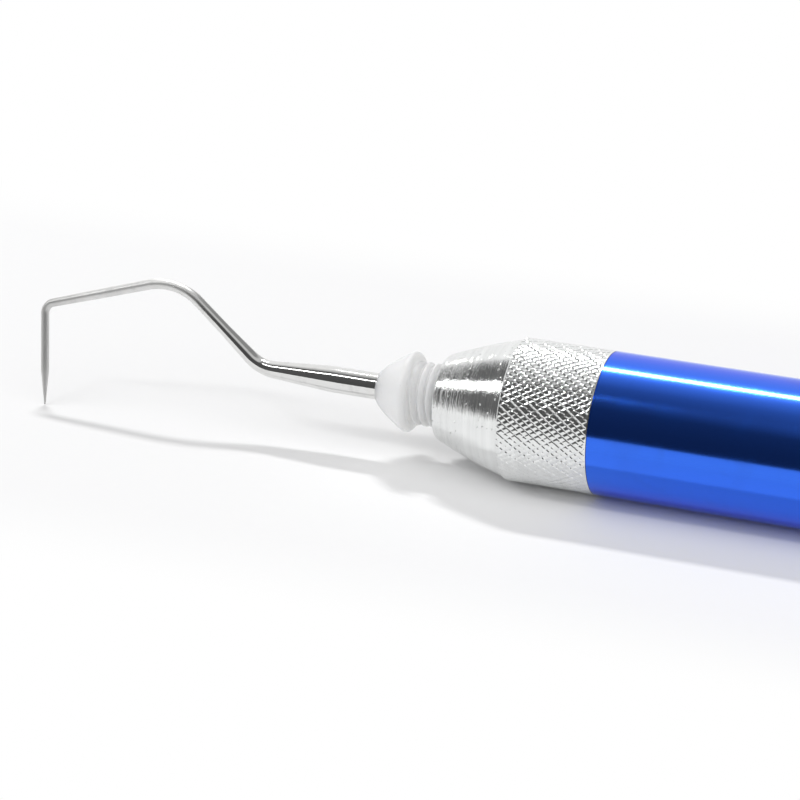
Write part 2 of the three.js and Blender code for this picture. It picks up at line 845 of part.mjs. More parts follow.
addTurned(
  tool,
  "contact_washer",
  washerX,
  [
    [0, PLUNGER_STEM_D / 2 + FIT],
    [0, washerR],
    [WASHER_THICKNESS, washerR],
    [WASHER_THICKNESS, PLUNGER_STEM_D / 2 + FIT],
  ],
  INNER_SIDES,
  BRASS,
);

addTurned(
  tool,
  "tail_button",
  buttonX,
  [
    [0, 0],
    [0, washerR],
    [BUTTON_FLANGE, washerR],
    [BUTTON_FLANGE, BUTTON_D / 2],
    [capEndX + BUTTON_PROUD - BUTTON_DOME - buttonX, BUTTON_D / 2],
    [capEndX + BUTTON_PROUD - BUTTON_DOME / 2 - buttonX, BUTTON_D / 2 - BUTTON_DOME / 2],
    [capEndX + BUTTON_PROUD - BUTTON_DOME / 8 - buttonX, BUTTON_D / 2 - 2 * BUTTON_DOME],
    [capEndX + BUTTON_PROUD - buttonX, 0],
  ],
  INNER_SIDES,
  WHITE_PLASTIC,
);

// Tail cap: the spigot, a plain edge, a band for the fingers and a taper to the end face

const capSpigotX = capFrontX - SPIGOT_LENGTH;
const tailGroove = RING_GROOVE_SETBACK;
const capFront = SPIGOT_LENGTH;
const bandEnd = capFront + CAP_PLAIN_FRONT + CAP_BAND_LENGTH;
const capLength = capEndX - capSpigotX;
const shoulder = capShoulderX - capSpigotX;
addTurned(
  tool,
  "tail_cap",
  capSpigotX,
  [
    [0, HOUSING_FLANGE_D / 2 + 2 * FIT],
    [0, spigotR - EDGE_CHAMFER],
    [EDGE_CHAMFER, spigotR],
    ...ringGroove(tailGroove),
    [capFront, spigotR],
    [capFront, bodyR - EDGE_CHAMFER],
    [capFront + EDGE_CHAMFER, bodyR],
    [bandEnd, bodyR],
    [bandEnd + EDGE_CHAMFER, bodyR - BAND_STEP],
    [capLength - CAP_EDGE, CAP_END_D / 2 + CAP_EDGE],
    [capLength, CAP_END_D / 2],
    [capLength, buttonHoleR],
    [endWallX - capSpigotX, buttonHoleR],
    [endWallX - capSpigotX, capBoreR],
    [shoulder, capBoreR],
    [shoulder, HOUSING_FLANGE_D / 2 + 2 * FIT],
  ],
  BODY_SIDES,
  TURNED_ALUMINIUM,
);
addRing(tool, "tail_o_ring", capSpigotX + tailGroove);

// The origin: the middle of the underside of the bounding box

const box = new THREE.Box3().setFromObject(tool, true);
tool.position.set(-(box.min.x + box.max.x) / 2, 0, -box.min.z);
tool.updateMatrixWorld(true);

export default tool;
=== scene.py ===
# Vinyl weeding tool: a bent steel hook in a frosted screw-in head, a turned and knurled nose
# collar, a blue tubular barrel with two cells, and a knurled tail cap with a push button.
#
# Everything is in metres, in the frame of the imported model, but for the outlines of the turned
# pieces and what is fitted to them: those are in millimetres, and lathe() scales them.

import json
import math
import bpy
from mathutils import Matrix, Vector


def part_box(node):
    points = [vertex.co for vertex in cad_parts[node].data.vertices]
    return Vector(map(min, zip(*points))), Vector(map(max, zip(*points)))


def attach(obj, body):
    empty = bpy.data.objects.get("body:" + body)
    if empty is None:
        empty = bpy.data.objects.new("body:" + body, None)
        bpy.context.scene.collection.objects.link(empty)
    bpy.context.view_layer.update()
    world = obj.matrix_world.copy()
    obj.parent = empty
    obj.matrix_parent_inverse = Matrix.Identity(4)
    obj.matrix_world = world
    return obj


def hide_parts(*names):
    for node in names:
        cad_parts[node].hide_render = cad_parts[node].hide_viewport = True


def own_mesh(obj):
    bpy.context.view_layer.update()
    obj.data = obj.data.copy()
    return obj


bl_info = {
    "name": "Vinyl Weeding Tool",
    "version": (1, 0, 0),
    "blender": (4, 5, 0),
    "location": "View3D > Sidebar > Weeding Tool",
    "description": "Shapes and finishes of a weeding tool with a lamp in its nose",
    "category": "Object",
}

import bmesh
import bpy
import numpy as np
from bpy.props import FloatProperty, FloatVectorProperty, IntProperty, PointerProperty
from mathutils import Matrix, Vector

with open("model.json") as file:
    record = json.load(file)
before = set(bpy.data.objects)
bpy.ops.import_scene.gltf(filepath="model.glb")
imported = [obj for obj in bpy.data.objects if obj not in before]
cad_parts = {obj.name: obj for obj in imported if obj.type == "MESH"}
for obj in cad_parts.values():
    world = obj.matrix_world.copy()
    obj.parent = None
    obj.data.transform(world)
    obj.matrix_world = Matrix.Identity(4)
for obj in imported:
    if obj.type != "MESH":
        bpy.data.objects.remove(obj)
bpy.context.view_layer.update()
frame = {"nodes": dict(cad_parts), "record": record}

MM = 0.001

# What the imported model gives: the tool's axis and radius, where three pieces start along it,
# and the body that each piece belongs to

barrel_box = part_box("barrel")
AXIS_Z = (barrel_box[0].z + barrel_box[1].z) / 2
BODY_R = (barrel_box[1].z - barrel_box[0].z) / 2
FACE_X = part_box("nose_collar")[0].x
HEAD_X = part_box("hook_head")[0].x
LAMP_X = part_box("led_lamp")[0].x
BODY_OF = {
    node: body
    for body, members in frame["record"]["behaviour"]["bodies"].items()
    for node in members
}


# Settings


def length(name, description, default):
    return FloatProperty(
        name=name, description=description, default=default * MM, precision=5, unit="LENGTH"
    )


def angle(name, description, degrees):
    return FloatProperty(
        name=name, description=description, default=math.radians(degrees), subtype="ANGLE"
    )


def amount(name, description, default):
    return FloatProperty(name=name, description=description, default=default, min=0.0)


def count(name, description, default):
    return IntProperty(name=name, description=description, default=default, min=3)


def colour(name, description, default):
    return FloatVectorProperty(
        name=name, description=description, default=default, size=3, min=0.0, max=1.0, subtype="COLOR"
    )


class HookSettings(bpy.types.PropertyGroup):
    shank_length: length("Shank", "From the head to the knee", 12.23)
    shank_plain: length("Plain Shank", "Part of the shank outside the head that doesn't taper", 4.83)
    shank_socket: length("Socket", "Length of the shank inside the head", 4.0)
    rise: length("Rise", "From the axis to the apex, in the hook's plane", 7.2)
    rise_angle: angle("Rise Angle", "Between the axis and the rise", 37.2)
    arm_span: length("Arm Span", "Along the axis, from the apex to the pin", 13.7)
    arm_angle: angle("Arm Angle", "Between the axis and the arm", 17.7)
    pin_lean: angle("Pin Lean", "Of the pin, from square to the axis", -5.9)
    roll: angle("Roll", "Of the hook's plane about the axis", 18.3)
    clearance: length("Point Clearance", "Between the point and the surface below", 0.1)
    knee_bend: length("Knee Bend", "Radius of the bend at the knee", 4.4)
    apex_bend: length("Apex Bend", "Radius of the bend at the apex", 6.0)
    pin_bend: length("Pin Bend", "Radius of the bend at the pin", 1.1)
    point_length: length("Point Length", "Of the pin, where it tapers to the point", 3.4)
    shank_diameter: length("Shank Diameter", "Of the steel at the head", 2.52)
    knee_diameter: length("Knee Diameter", "Of the steel at the knee", 1.48)
    rise_diameter: length("Rise Diameter", "Of the steel half way up the rise", 1.14)
    apex_diameter: length("Apex Diameter", "Of the steel at the apex", 1.04)
    arm_diameter: length("Arm Diameter", "Of the steel half way along the arm", 0.96)
    pin_diameter: length("Pin Diameter", "Of the steel at the pin", 0.8)
    point_diameter: length("Point Diameter", "Of the steel at the point", 0.14)


class HeadSettings(bpy.types.PropertyGroup):
    tip_diameter: length("Tip Diameter", "Of the head round the shank", 3.0)
    dome_length: length("Dome Length", "From the tip to the back of the rim", 3.62)
    rim_diameter: length("Rim Diameter", "Across the rim", 7.6)
    rim_round: length("Rim Round", "Radius of the rim's edge", 0.45)
    neck_diameter: length("Neck Diameter", "Across the thread's crests", 6.0)
    neck_length: length("Neck Length", "Of the threaded neck", 6.5)
    pitch: length("Thread Pitch", "Of the neck", 0.8)
    thread_depth: length("Thread Depth", "Of the neck's thread", 0.34)


class CollarSettings(bpy.types.PropertyGroup):
    cone_length: length("Cone Length", "From the front face to the band", 7.2)
    cone_diameter: length("Cone Diameter", "Of the cone at its front", 8.0)
    edge_round: length("Edge Round", "Radius of the cone's front edge", 0.45)
    swell: length("Swell", "Of the cone half way along, over a straight one", 0.17)
    band_length: length("Band Length", "Of the knurled band", 8.6)
    band_step: length("Band Step", "Height of the band over the cone", 0.15)
    spigot_diameter: length("Spigot Diameter", "Across the spigot's thread", 11.9)
    spigot_length: length("Spigot Length", "From the band to the spigot's end", 5.5)
    grooves: count("Knurl Grooves", "Round the band, in each of the two directions", 66)
    crossings: amount("Knurl Crossings", "Of the grooves, along the band", 9.5)
    knurl_depth: length("Knurl Depth", "Of the wide grooves, which wind left-handed", 0.05)
    second_depth: length("Second Depth", "Of the narrow grooves, which wind right-handed", 0.04)
    pitch: length("Thread Pitch", "Of the spigot", 0.75)
    thread_depth: length("Thread Depth", "Of the spigot's thread", 0.3)


class FinishSettings(bpy.types.PropertyGroup):
    steel: colour("Steel", "Of the hook", (0.76, 0.76, 0.75))
    frosted: colour("Frosted Plastic", "Of the head", (0.975, 0.972, 0.95))
    aluminium: colour("Aluminium", "Of the collar and the cap", (0.86, 0.87, 0.865))
    anodised: colour("Anodised Blue", "Of the barrel", (0.009, 0.135, 0.86))
    button: colour("Button", "Of the push button", (0.82, 0.83, 0.83))
    label: colour("Cell Label", "Of the film round the cells", (0.045, 0.05, 0.06))


class StageSettings(bpy.types.PropertyGroup):
    azimuth: angle("Azimuth", "Of the camera, from the side of the tool", 20.695)
    elevation: angle("Elevation", "Of the camera, over the floor", 25.16)
    twist: angle("Twist", "Of the camera about its own axis", 0.035)
    distance: length("Distance", "From the camera to its aim", 278.063)
    aim: FloatVectorProperty(
        name="Aim",
        description="Where the camera looks, from the front of the collar on the tool's axis",
        default=(-3.210 * MM, -3.365 * MM, 0.638 * MM),
        size=3,
        precision=5,
        subtype="TRANSLATION",
        unit="LENGTH",
    )
    lens: FloatProperty(
        name="Lens", description="Focal length", default=135.0, min=10.0, unit="CAMERA"
    )
    key_power: FloatProperty(
        name="Key Light", description="Lamp behind the tool", default=9.8, min=0.0, unit="POWER"
    )
    fill_power: FloatProperty(
        name="Fill Light", description="Lamp at the front left", default=3.6, min=0.0, unit="POWER"
    )
    ambient: amount("Ambient", "Strength of the light from all round", 1.0)
    floor: colour("Floor", "Of the surface that the tool lies on", (0.88, 0.88, 0.885))


class ToolSettings(bpy.types.PropertyGroup):
    hook: PointerProperty(type=HookSettings)
    head: PointerProperty(type=HeadSettings)
    collar: PointerProperty(type=CollarSettings)
    finish: PointerProperty(type=FinishSettings)
    stage: PointerProperty(type=StageSettings)


def settings():
    return bpy.context.scene.weeding_tool


# Node graphs


# The sockets of a Mix node share their names, so they are told by number: factor, first and
# second value, and the result.
MIX_SOCKETS = {"FLOAT": (0, 2, 3, 0), "RGBA": (0, 6, 7, 2)}


class Graph:
    """Adds nodes to a tree. An input is given as a socket, or as a plain value."""

    def __init__(self, tree):
        self.tree = tree

    def feed(self, socket, value):
        if isinstance(value, bpy.types.NodeSocket):
            self.tree.links.new(value, socket)
        else:
            socket.default_value = value

    def add(self, kind, inputs=None, **choices):
        node = self.tree.nodes.new(kind)
        for choice, value in choices.items():
            setattr(node, choice, value)
        for key, value in (inputs or {}).items():
            self.feed(node.inputs[key], value)
        return node

    def math(self, operation, *values):
        node = self.add("ShaderNodeMath", operation=operation)
        for socket, value in zip(node.inputs, values):
            self.feed(socket, value)
        return node.outputs[0]

    def span(self, value, low, high, to_low=0.0, to_high=1.0, smooth=False):
        node = self.add(
            "ShaderNodeMapRange",
            {"Value": value, "From Min": low, "From Max": high, "To Min": to_low, "To Max": to_high},
            interpolation_type="SMOOTHSTEP" if smooth else "LINEAR",
        )
        return node.outputs["Result"]

    def place(self):
        """The place on an object, which at rest is that in the model's frame, and its three parts."""
        place = self.add("ShaderNodeTexCoord").outputs["Object"]
        return place, self.add("ShaderNodeSeparateXYZ", {0: place}).outputs

    def noise(self, place, scale, detail, **inputs):
        inputs = {"Vector": place, "Scale": scale, "Detail": detail, **inputs}
        return self.add("ShaderNodeTexNoise", inputs).outputs[0]

    def hypotenuse(self, side, other):
        squares = [self.math("MULTIPLY", value, value) for value in (side, other)]
        return self.math("SQRT", self.math("ADD", *squares))

    def mix(self, kind, mask, first, second):
        node = self.add("ShaderNodeMix", data_type=kind)
        *places, result = MIX_SOCKETS[kind]
        for place, value in zip(places, (mask, first, second)):
            self.feed(node.inputs[place], value)
        return node.outputs[result]


SOCKETS = {
    "geometry": "NodeSocketGeometry",
    "number": "NodeSocketFloat",
    "whole": "NodeSocketInt",
    "colour": "NodeSocketColor",
    "vector": "NodeSocketVector",
    "material": "NodeSocketMaterial",
}


def new_group(name, kind, inputs, outputs):
    """A node group with named sockets, its input node's sockets by name, and its output node."""
    tree = bpy.data.node_groups.new(name, kind)
    for sockets, in_out in ((inputs, "INPUT"), (outputs, "OUTPUT")):
        for socket_name, socket_kind, *default in sockets:
            socket = tree.interface.new_socket(
                name=socket_name, in_out=in_out, socket_type=SOCKETS[socket_kind]
            )
            if default:
                socket.default_value = default[0]
    graph = Graph(tree)
    given = graph.add("NodeGroupInput").outputs
    result = graph.add("NodeGroupOutput").inputs
    return tree, graph, given, result


def finish_geometry(graph, geometry, given, result):
    whole = graph.add("GeometryNodeRealizeInstances", {"Geometry": geometry})
    dressed = graph.add(
        "GeometryNodeSetMaterial", {"Geometry": whole.outputs[0], "Material": given["Material"]}
    )
    graph.feed(result["Geometry"], dressed.outputs[0])


def round_the_axis(graph, given):
    """Place along the axis, turn round it as a share of 1, radius, and the radius's two sides."""
    position = graph.add("GeometryNodeInputPosition").outputs[0]
    split = graph.add("ShaderNodeSeparateXYZ", {0: position}).outputs
    height = graph.math("SUBTRACT", split[2], given["Axis Height"])
    radius = graph.hypotenuse(split[1], height)
    turn = graph.math("DIVIDE", graph.math("ARCTAN2", height, split[1]), math.tau)
    return split[0], turn, radius, split[1], height


LEAST_RADIUS = 0.001 * MM  # keeps points on the axis from a division by nothing


def push_inwards(graph, geometry, drop, radius, side, height):
    """Moves each point towards the axis by its drop."""
    from_axis = graph.math("MAXIMUM", radius, LEAST_RADIUS)
    share = graph.math("DIVIDE", graph.math("MULTIPLY", drop, -1.0), from_axis)
    offset = graph.add(
        "ShaderNodeCombineXYZ",
        {1: graph.math("MULTIPLY", share, side), 2: graph.math("MULTIPLY", share, height)},
    )
    moved = graph.add("GeometryNodeSetPosition", {"Geometry": geometry, "Offset": offset.outputs[0]})
    return moved.outputs[0]


def within(graph, along, radius, given):
    """1 between Start and End, and between the two radii, with a fade at both ends."""
    lead_in = graph.math("ADD", given["Start"], given["Fade"])
    lead_out = graph.math("SUBTRACT", given["End"], given["Fade"])
    ends = graph.math(
        "MULTIPLY",
        graph.span(along, given["Start"], lead_in, smooth=True),
        graph.span(along, lead_out, given["End"], 1.0, 0.0, smooth=True),
    )
    band = graph.math(
        "MULTIPLY",
        graph.math("GREATER_THAN", radius, given["Least Radius"]),
        graph.math("LESS_THAN", radius, given["Greatest Radius"]),
    )
    return graph.math("MULTIPLY", ends, band)


BAND_SOCKETS = [
    ("Geometry", "geometry"),
    ("Material", "material"),
    ("Axis Height", "number"),
    ("Start", "number"),
    ("End", "number"),
    ("Least Radius", "number"),
    ("Greatest Radius", "number"),
    ("Fade", "number", 0.12 * MM),
]


# Of the flat between two wide grooves, and between two narrow ones: half its width, as a share
# of the grooves' spacing
WIDE_LAND, NARROW_LAND = 1 / 6, 1 / 3


def knurl_tree():
    """Wide and narrow helical grooves that cross, each second one shallower."""
    tree, graph, given, result = new_group(
        "Diamond Knurl",
        "GeometryNodeTree",
        BAND_SOCKETS
        + [
            ("Grooves", "whole", 66),
            ("Crossings", "number", 9.5),
            ("Wide Depth", "number", 0.05 * MM),
            ("Narrow Depth", "number", 0.04 * MM),
            ("Shallow Share", "number", 0.65),
        ],
        [("Geometry", "geometry")],
    )
    along, turn, radius, side, height = round_the_axis(graph, given)
    round_count = graph.math("MULTIPLY", turn, given["Grooves"])
    band = graph.math("SUBTRACT", given["End"], given["Start"])
    share = graph.math("DIVIDE", graph.math("SUBTRACT", along, given["Start"]), band)
    along_count = graph.math("MULTIPLY", share, given["Crossings"])
    families = (("ADD", "Wide Depth", WIDE_LAND), ("SUBTRACT", "Narrow Depth", NARROW_LAND))
    drops = []
    for operation, depth, land in families:
        lead = graph.math(operation, round_count, along_count)
        away = graph.math("ABSOLUTE", graph.math("SUBTRACT", graph.math("FRACT", lead), 0.5))
        groove = graph.span(away, land, 1 / 2)
        number = graph.math("ROUND", lead)
        odd = graph.math("MULTIPLY", graph.math("FRACT", graph.math("MULTIPLY", number, 0.5)), 2.0)
        factor = graph.span(odd, 0.0, 1.0, 1.0, given["Shallow Share"])
        deep = graph.math("MULTIPLY", factor, given[depth])
        drops.append(graph.math("MULTIPLY", groove, deep))
    drop = graph.math("MULTIPLY", graph.math("ADD", *drops), within(graph, along, radius, given))
    moved = push_inwards(graph, given["Geometry"], drop, radius, side, height)
    finish_geometry(graph, moved, given, result)
    return tree


# Half the widths of a thread's root and of its whole groove, as shares of the pitch
ROOT_HALF, GROOVE_HALF = 0.06, 0.42


def thread_tree():
    """A right-hand screw thread, cut inwards, or outwards in a bore where Depth is negative."""
    tree, graph, given, result = new_group(
        "Screw Thread",
        "GeometryNodeTree",
        BAND_SOCKETS + [("Pitch", "number", 0.8 * MM), ("Depth", "number", 0.34 * MM)],
        [("Geometry", "geometry")],
    )
    along, turn, radius, side, height = round_the_axis(graph, given)
    turns = graph.math("DIVIDE", graph.math("SUBTRACT", along, given["Start"]), given["Pitch"])
    phase = graph.math("FRACT", graph.math("SUBTRACT", turns, turn))
    from_root = graph.math("ABSOLUTE", graph.math("SUBTRACT", phase, 0.5))
    root = graph.span(from_root, ROOT_HALF, GROOVE_HALF, 1.0, 0.0, smooth=True)
    deep = graph.math("MULTIPLY", root, given["Depth"])
    drop = graph.math("MULTIPLY", deep, within(graph, along, radius, given))
    moved = push_inwards(graph, given["Geometry"], drop, radius, side, height)
    finish_geometry(graph, moved, given, result)
    return tree


def wire_tree():
    """A round wire along a curve, as thick as the curve's radius says."""
    tree, graph, given, result = new_group(
        "Swept Wire",
        "GeometryNodeTree",
        [("Geometry", "geometry"), ("Material", "material"), ("Sides", "whole", 24)],
        [("Geometry", "geometry")],
    )
    section = graph.add("GeometryNodeCurvePrimitiveCircle", {"Resolution": given["Sides"]})
    section.inputs["Radius"].default_value = 1.0
    wire = graph.add(
        "GeometryNodeCurveToMesh",
        {
            "Curve": given["Geometry"],
            "Profile Curve": section.outputs["Curve"],
            "Scale": graph.add("GeometryNodeInputRadius").outputs[0],
            "Fill Caps": True,
        },
    )
    finish_geometry(graph, wire.outputs[0], given, result)
    return tree


TREES = {}


def tree_named(name):
    """The node group of that name, built when it is first asked for."""
    if name not in TREES:
        TREES[name] = TREE_MAKERS[name]()
    return TREES[name]


def grow(piece, tree_name, inputs):
    """Runs a geometry tree on a piece and keeps the result as the piece's plain mesh."""
    tree = tree_named(tree_name)
    sockets = {
        item.name: item.identifier for item in tree.interface.items_tree if item.in_out == "INPUT"
    }
    modifier = piece.modifiers.new(tree.name, "NODES")
    modifier.node_group = tree
    for name, value in inputs.items():
        modifier[sockets[name]] = value
    depsgraph = bpy.context.evaluated_depsgraph_get()
    shape = bpy.data.meshes.new_from_object(piece.evaluated_get(depsgraph), depsgraph=depsgraph)
    if len(shape.polygons) == 0:
        raise RuntimeError(f"{tree.name} gave no faces for {piece.name}")
    if piece.type == "MESH":
        piece.modifiers.remove(modifier)
        piece.data = shape
        return piece
    name = piece.name
    bpy.data.objects.remove(piece)
    return new_object(name, shape)


# Finishes


def turning_marks():
    """Fine rings from the lathe, along the tool's axis."""
    tree, graph, given, result = new_group(
        "Turning Marks",
        "ShaderNodeTree",
        [("Rings per Metre", "number", 9000.0), ("Waver", "number", 60.0)],
        [("Height", "number"), ("Shade", "number")],
    )
    _, split = graph.place()
    stretched = graph.add(
        "ShaderNodeCombineXYZ",
        {
            0: graph.math("MULTIPLY", split[0], given["Rings per Metre"]),
            1: graph.math("MULTIPLY", split[1], given["Waver"]),
            2: graph.math("MULTIPLY", split[2], given["Waver"]),
        },
    ).outputs[0]
    graph.feed(result["Height"], graph.noise(stretched, 1.0, 4.0, Roughness=0.65))
    broad = graph.noise(stretched, 0.18, 2.0, Roughness=0.5)
    graph.feed(result["Shade"], graph.span(broad, 0.3, 0.7))
    return tree


def handling_marks():
    """Faint smudges, and sparse specks of dust and tiny dents."""
    tree, graph, given, result = new_group(
        "Handling Marks",
        "ShaderNodeTree",
        [
            ("Smudges per Metre", "number", 350.0),
            ("Specks per Metre", "number", 2600.0),
            ("Speck Share", "number", 0.1),
        ],
        [("Smudge", "number"), ("Speck", "number")],
    )
    place, _ = graph.place()
    smudge = graph.noise(place, given["Smudges per Metre"], 5.0, Distortion=0.6)
    graph.feed(result["Smudge"], graph.span(smudge, 0.48, 0.72, smooth=True))
    speck = graph.add(
        "ShaderNodeTexVoronoi", {"Vector": place, "Scale": given["Specks per Metre"]}
    )
    near = graph.span(speck.outputs["Distance"], 0.05, 0.22, 1.0, 0.0, smooth=True)
    chance = graph.add("ShaderNodeSeparateColor", {0: speck.outputs["Color"]}).outputs[0]
    chosen = graph.math("LESS_THAN", chance, given["Speck Share"])
    graph.feed(result["Speck"], graph.math("MULTIPLY", near, chosen))
    return tree


def moulded_grain():
    """The soft grain of moulded plastic and rubber."""
    tree, graph, given, result = new_group(
        "Moulded Grain",
        "ShaderNodeTree",
        [("Grains per Metre", "number", 6000.0)],
        [("Height", "number"), ("Tone", "number")],
    )
    place, _ = graph.place()
    graph.feed(result["Height"], graph.noise(place, given["Grains per Metre"], 3.0))
    graph.feed(result["Tone"], graph.noise(place, 300.0, 2.0))
    return tree


TREE_MAKERS = {
    "knurl": knurl_tree,
    "thread": thread_tree,
    "wire": wire_tree,
    "turning": turning_marks,
    "handling": handling_marks,
    "grain": moulded_grain,
}


class Surface:
    """A material with one Principled shader, and the steps that most finishes share."""

    def __init__(self, name, base, metallic, roughness):
        self.material = bpy.data.materials.new(name)
        self.material.use_nodes = True
        tree = self.material.node_tree
        self.graph = Graph(tree)
        self.shader = tree.nodes["Principled BSDF"]
        self.base = (*base, 1.0)
        self.set("Base Color", self.base)
        self.set("Metallic", metallic)
        self.set("Roughness", roughness)
        self.material.diffuse_color = self.base
        self.material.metallic = metallic
        self.material.roughness = roughness

    def set(self, socket, value):
        self.graph.feed(self.shader.inputs[socket], value)

    def group(self, kind, **values):
        node = self.graph.add("ShaderNodeGroup", node_tree=tree_named(kind))
        for name, value in values.items():
            node.inputs[name.replace("_", " ")].default_value = value
        return node.outputs

    def mix(self, mask, from_colour, to_colour):
        return self.graph.mix("RGBA", mask, from_colour, to_colour)

    def bump(self, height, strength, depth, normal=None):
        inputs = {"Height": height, "Strength": strength, "Distance": depth}
        if normal is not None:
            inputs["Normal"] = normal
        return self.graph.add("ShaderNodeBump", inputs).outputs[0]

    def roughen(self, mask, low, high):
        """A roughness that goes from low to high as the mask goes from 0 to 1."""
        self.set("Roughness", self.graph.span(mask, 0.0, 1.0, low, high))

    def smudge(self, mask, factor):
        """Darkens the colour where the mask is."""
        self.set("Base Color", self.mix(mask, self.base, shade(self.base, factor)))

    def grained(self, grains_per_metre, strength, depth):
        """Gives the surface a moulded grain, and returns the grain's outputs."""
        grain = self.group("grain", Grains_per_Metre=grains_per_metre)
        self.set("Normal", self.bump(grain["Height"], strength, depth))
        return grain


def shade(base, factor):
    return (*(min(1.0, channel * factor) for channel in base[:3]), 1.0)


# How far in front of the head the polish gives way to satin, and where painted shade darkens
# the steel's colour towards the pin, each from its first trace to its full strength
SATIN_FROM, SATIN_FULL = 15.0 * MM, 23.0 * MM
PIN_SHADE_FROM, PIN_SHADE_FULL = 30.0 * MM, 35.0 * MM
SATIN_ROUGHNESS = 0.42  # over the polish


def polished_steel():
    surface = Surface("polished_steel", settings().finish.steel, 1.0, 0.09)
    graph = surface.graph
    marks = surface.group("handling", Smudges_per_Metre=900.0, Specks_per_Metre=5200.0)
    place, split = graph.place()
    satin = graph.span(split[0], HEAD_X - SATIN_FROM, HEAD_X - SATIN_FULL, smooth=True)
    polish = graph.span(marks["Smudge"], 0.0, 1.0, 0.07, 0.12)
    # Painted shade: the steel's colour is darker over the end of the arm and the pin
    pin_painted_shade = graph.span(split[0], HEAD_X - PIN_SHADE_FROM, HEAD_X - PIN_SHADE_FULL, smooth=True)
    bright = surface.mix(marks["Smudge"], surface.base, shade(surface.base, 0.9))
    surface.set("Base Color", surface.mix(pin_painted_shade, bright, shade(surface.base, 0.85)))
    surface.set("Roughness", graph.math("ADD", polish, graph.math("MULTIPLY", satin, SATIN_ROUGHNESS)))
    surface.set("Normal", surface.bump(graph.noise(place, 4200.0, 3.0), 0.16, 0.02 * MM))
    return surface.material


def frosted_plastic():
    surface = Surface("frosted_plastic", settings().finish.frosted, 0.0, 0.38)
    surface.set("Transmission Weight", 0.12)
    surface.set("Coat Weight", 0.7)
    surface.set("Coat Roughness", 0.06)
    surface.set("Subsurface Weight", 1.0)
    surface.set("Subsurface Radius", (1.0, 0.97, 0.92))
    surface.set("Subsurface Scale", 4.0 * MM)
    surface.set("IOR", 1.46)
    grain = surface.group("grain", Grains_per_Metre=3800.0)
    marks = surface.group("handling", Specks_per_Metre=3200.0)
    surface.roughen(marks["Speck"], 0.36, 0.12)
    rough = surface.bump(grain["Height"], 0.45, 0.08 * MM)
    surface.set("Normal", rough)
    surface.set("Coat Normal", rough)
    return surface.material


def turned_aluminium():
    surface = Surface("turned_aluminium", settings().finish.aluminium, 1.0, 0.2)
    graph = surface.graph
    _, split = graph.place()
    # Fine rings all over, and on the cone ridges that are deepest at its front and sparse specks
    rings = surface.group("turning", Rings_per_Metre=9000.0, Waver=70.0)
    ridges = surface.group("turning", Rings_per_Metre=3000.0, Waver=260.0)
    marks = surface.group("handling", Specks_per_Metre=2000.0, Speck_Share=0.35)
    surface.set("Base Color", surface.mix(rings["Shade"], shade(surface.base, 0.9), surface.base))
    surface.roughen(rings["Shade"], 0.1, 0.16)
    on_cone = graph.math("LESS_THAN", split[0], FACE_X + settings().collar.cone_length)
    fading = graph.span(split[0], FACE_X + 1.5 * MM, FACE_X + 5.0 * MM, 1.0, 0.4, smooth=True)
    fine = surface.bump(rings["Height"], graph.span(on_cone, 0.0, 1.0, 0.12, 0.6), 0.03 * MM)
    ridged = surface.bump(ridges["Height"], graph.math("MULTIPLY", fading, on_cone), 0.15 * MM, fine)
    surface.set("Normal", surface.bump(marks["Speck"], on_cone, 0.05 * MM, ridged))
    return surface.material


def blue_anodised():
    surface = Surface("blue_anodised", settings().finish.anodised, 1.0, 0.05)
    marks = surface.group("handling", Smudges_per_Metre=260.0, Specks_per_Metre=900.0)
    rings = surface.group("turning", Rings_per_Metre=5000.0, Waver=40.0)
    surface.smudge(marks["Smudge"], 0.94)
    surface.roughen(marks["Smudge"], 0.13, 0.16)
    surface.set("Specular Tint", (0.2, 0.4, 1.0, 1.0))
    surface.set("Coat Weight", 0.9)
    surface.set("Coat Roughness", 0.13)
    surface.set("Coat IOR", 1.48)
    surface.set("Normal", surface.bump(rings["Height"], 0.05, 0.02 * MM))
    return surface.material


def ring_rubber():
    surface = Surface("ring_rubber", (0.018, 0.018, 0.02), 0.0, 0.6)
    grain = surface.grained(9000.0, 0.3, 0.03 * MM)
    surface.set("Roughness", surface.graph.span(grain["Tone"], 0.3, 0.7, 0.5, 0.7))
    return surface.material


def lamp_epoxy():
    surface = Surface("lamp_epoxy", (0.96, 0.97, 0.95), 0.0, 0.04)
    surface.set("Transmission Weight", 1.0)
    surface.set("IOR", 1.52)
    marks = surface.group("handling", Specks_per_Metre=3000.0)
    surface.roughen(marks["Smudge"], 0.03, 0.09)
    return surface.material


def phosphor():
    surface = Surface("phosphor", (0.86, 0.7, 0.12), 0.0, 0.7)
    surface.grained(14000.0, 0.5, 0.04 * MM)
    return surface.material


def tinned_wire():
    surface = Surface("tinned_wire", (0.68, 0.69, 0.7), 1.0, 0.32)
    marks = surface.group("handling", Smudges_per_Metre=1500.0, Specks_per_Metre=5000.0)
    surface.roughen(marks["Smudge"], 0.26, 0.45)
    surface.smudge(marks["Smudge"], 0.85)
    return surface.material


def moulded(name, base, roughness, grains_per_metre=6000.0):
    surface = Surface(name, base, 0.0, roughness)
    grain = surface.grained(grains_per_metre, 0.25, 0.03 * MM)
    marks = surface.group("handling")
    surface.set("Base Color", surface.mix(grain["Tone"], shade(surface.base, 0.95), surface.base))
    surface.roughen(marks["Smudge"], roughness, roughness * 0.8)
    return surface.material


def white_plastic():
    return moulded("white_plastic", (0.86, 0.86, 0.84), 0.5)


def button_plastic():
    return moulded("button_plastic", settings().finish.button, 0.34, 5000.0)


def black_plastic():
    return moulded("black_plastic", (0.025, 0.025, 0.028), 0.45)


PAD_R, TRACK_HALF = 0.85 * MM, 0.25 * MM  # of the solder pads and the tracks on the board
LEAD_OFFSET = 1.27 * MM  # of each lead of the lamp, to the side of the axis


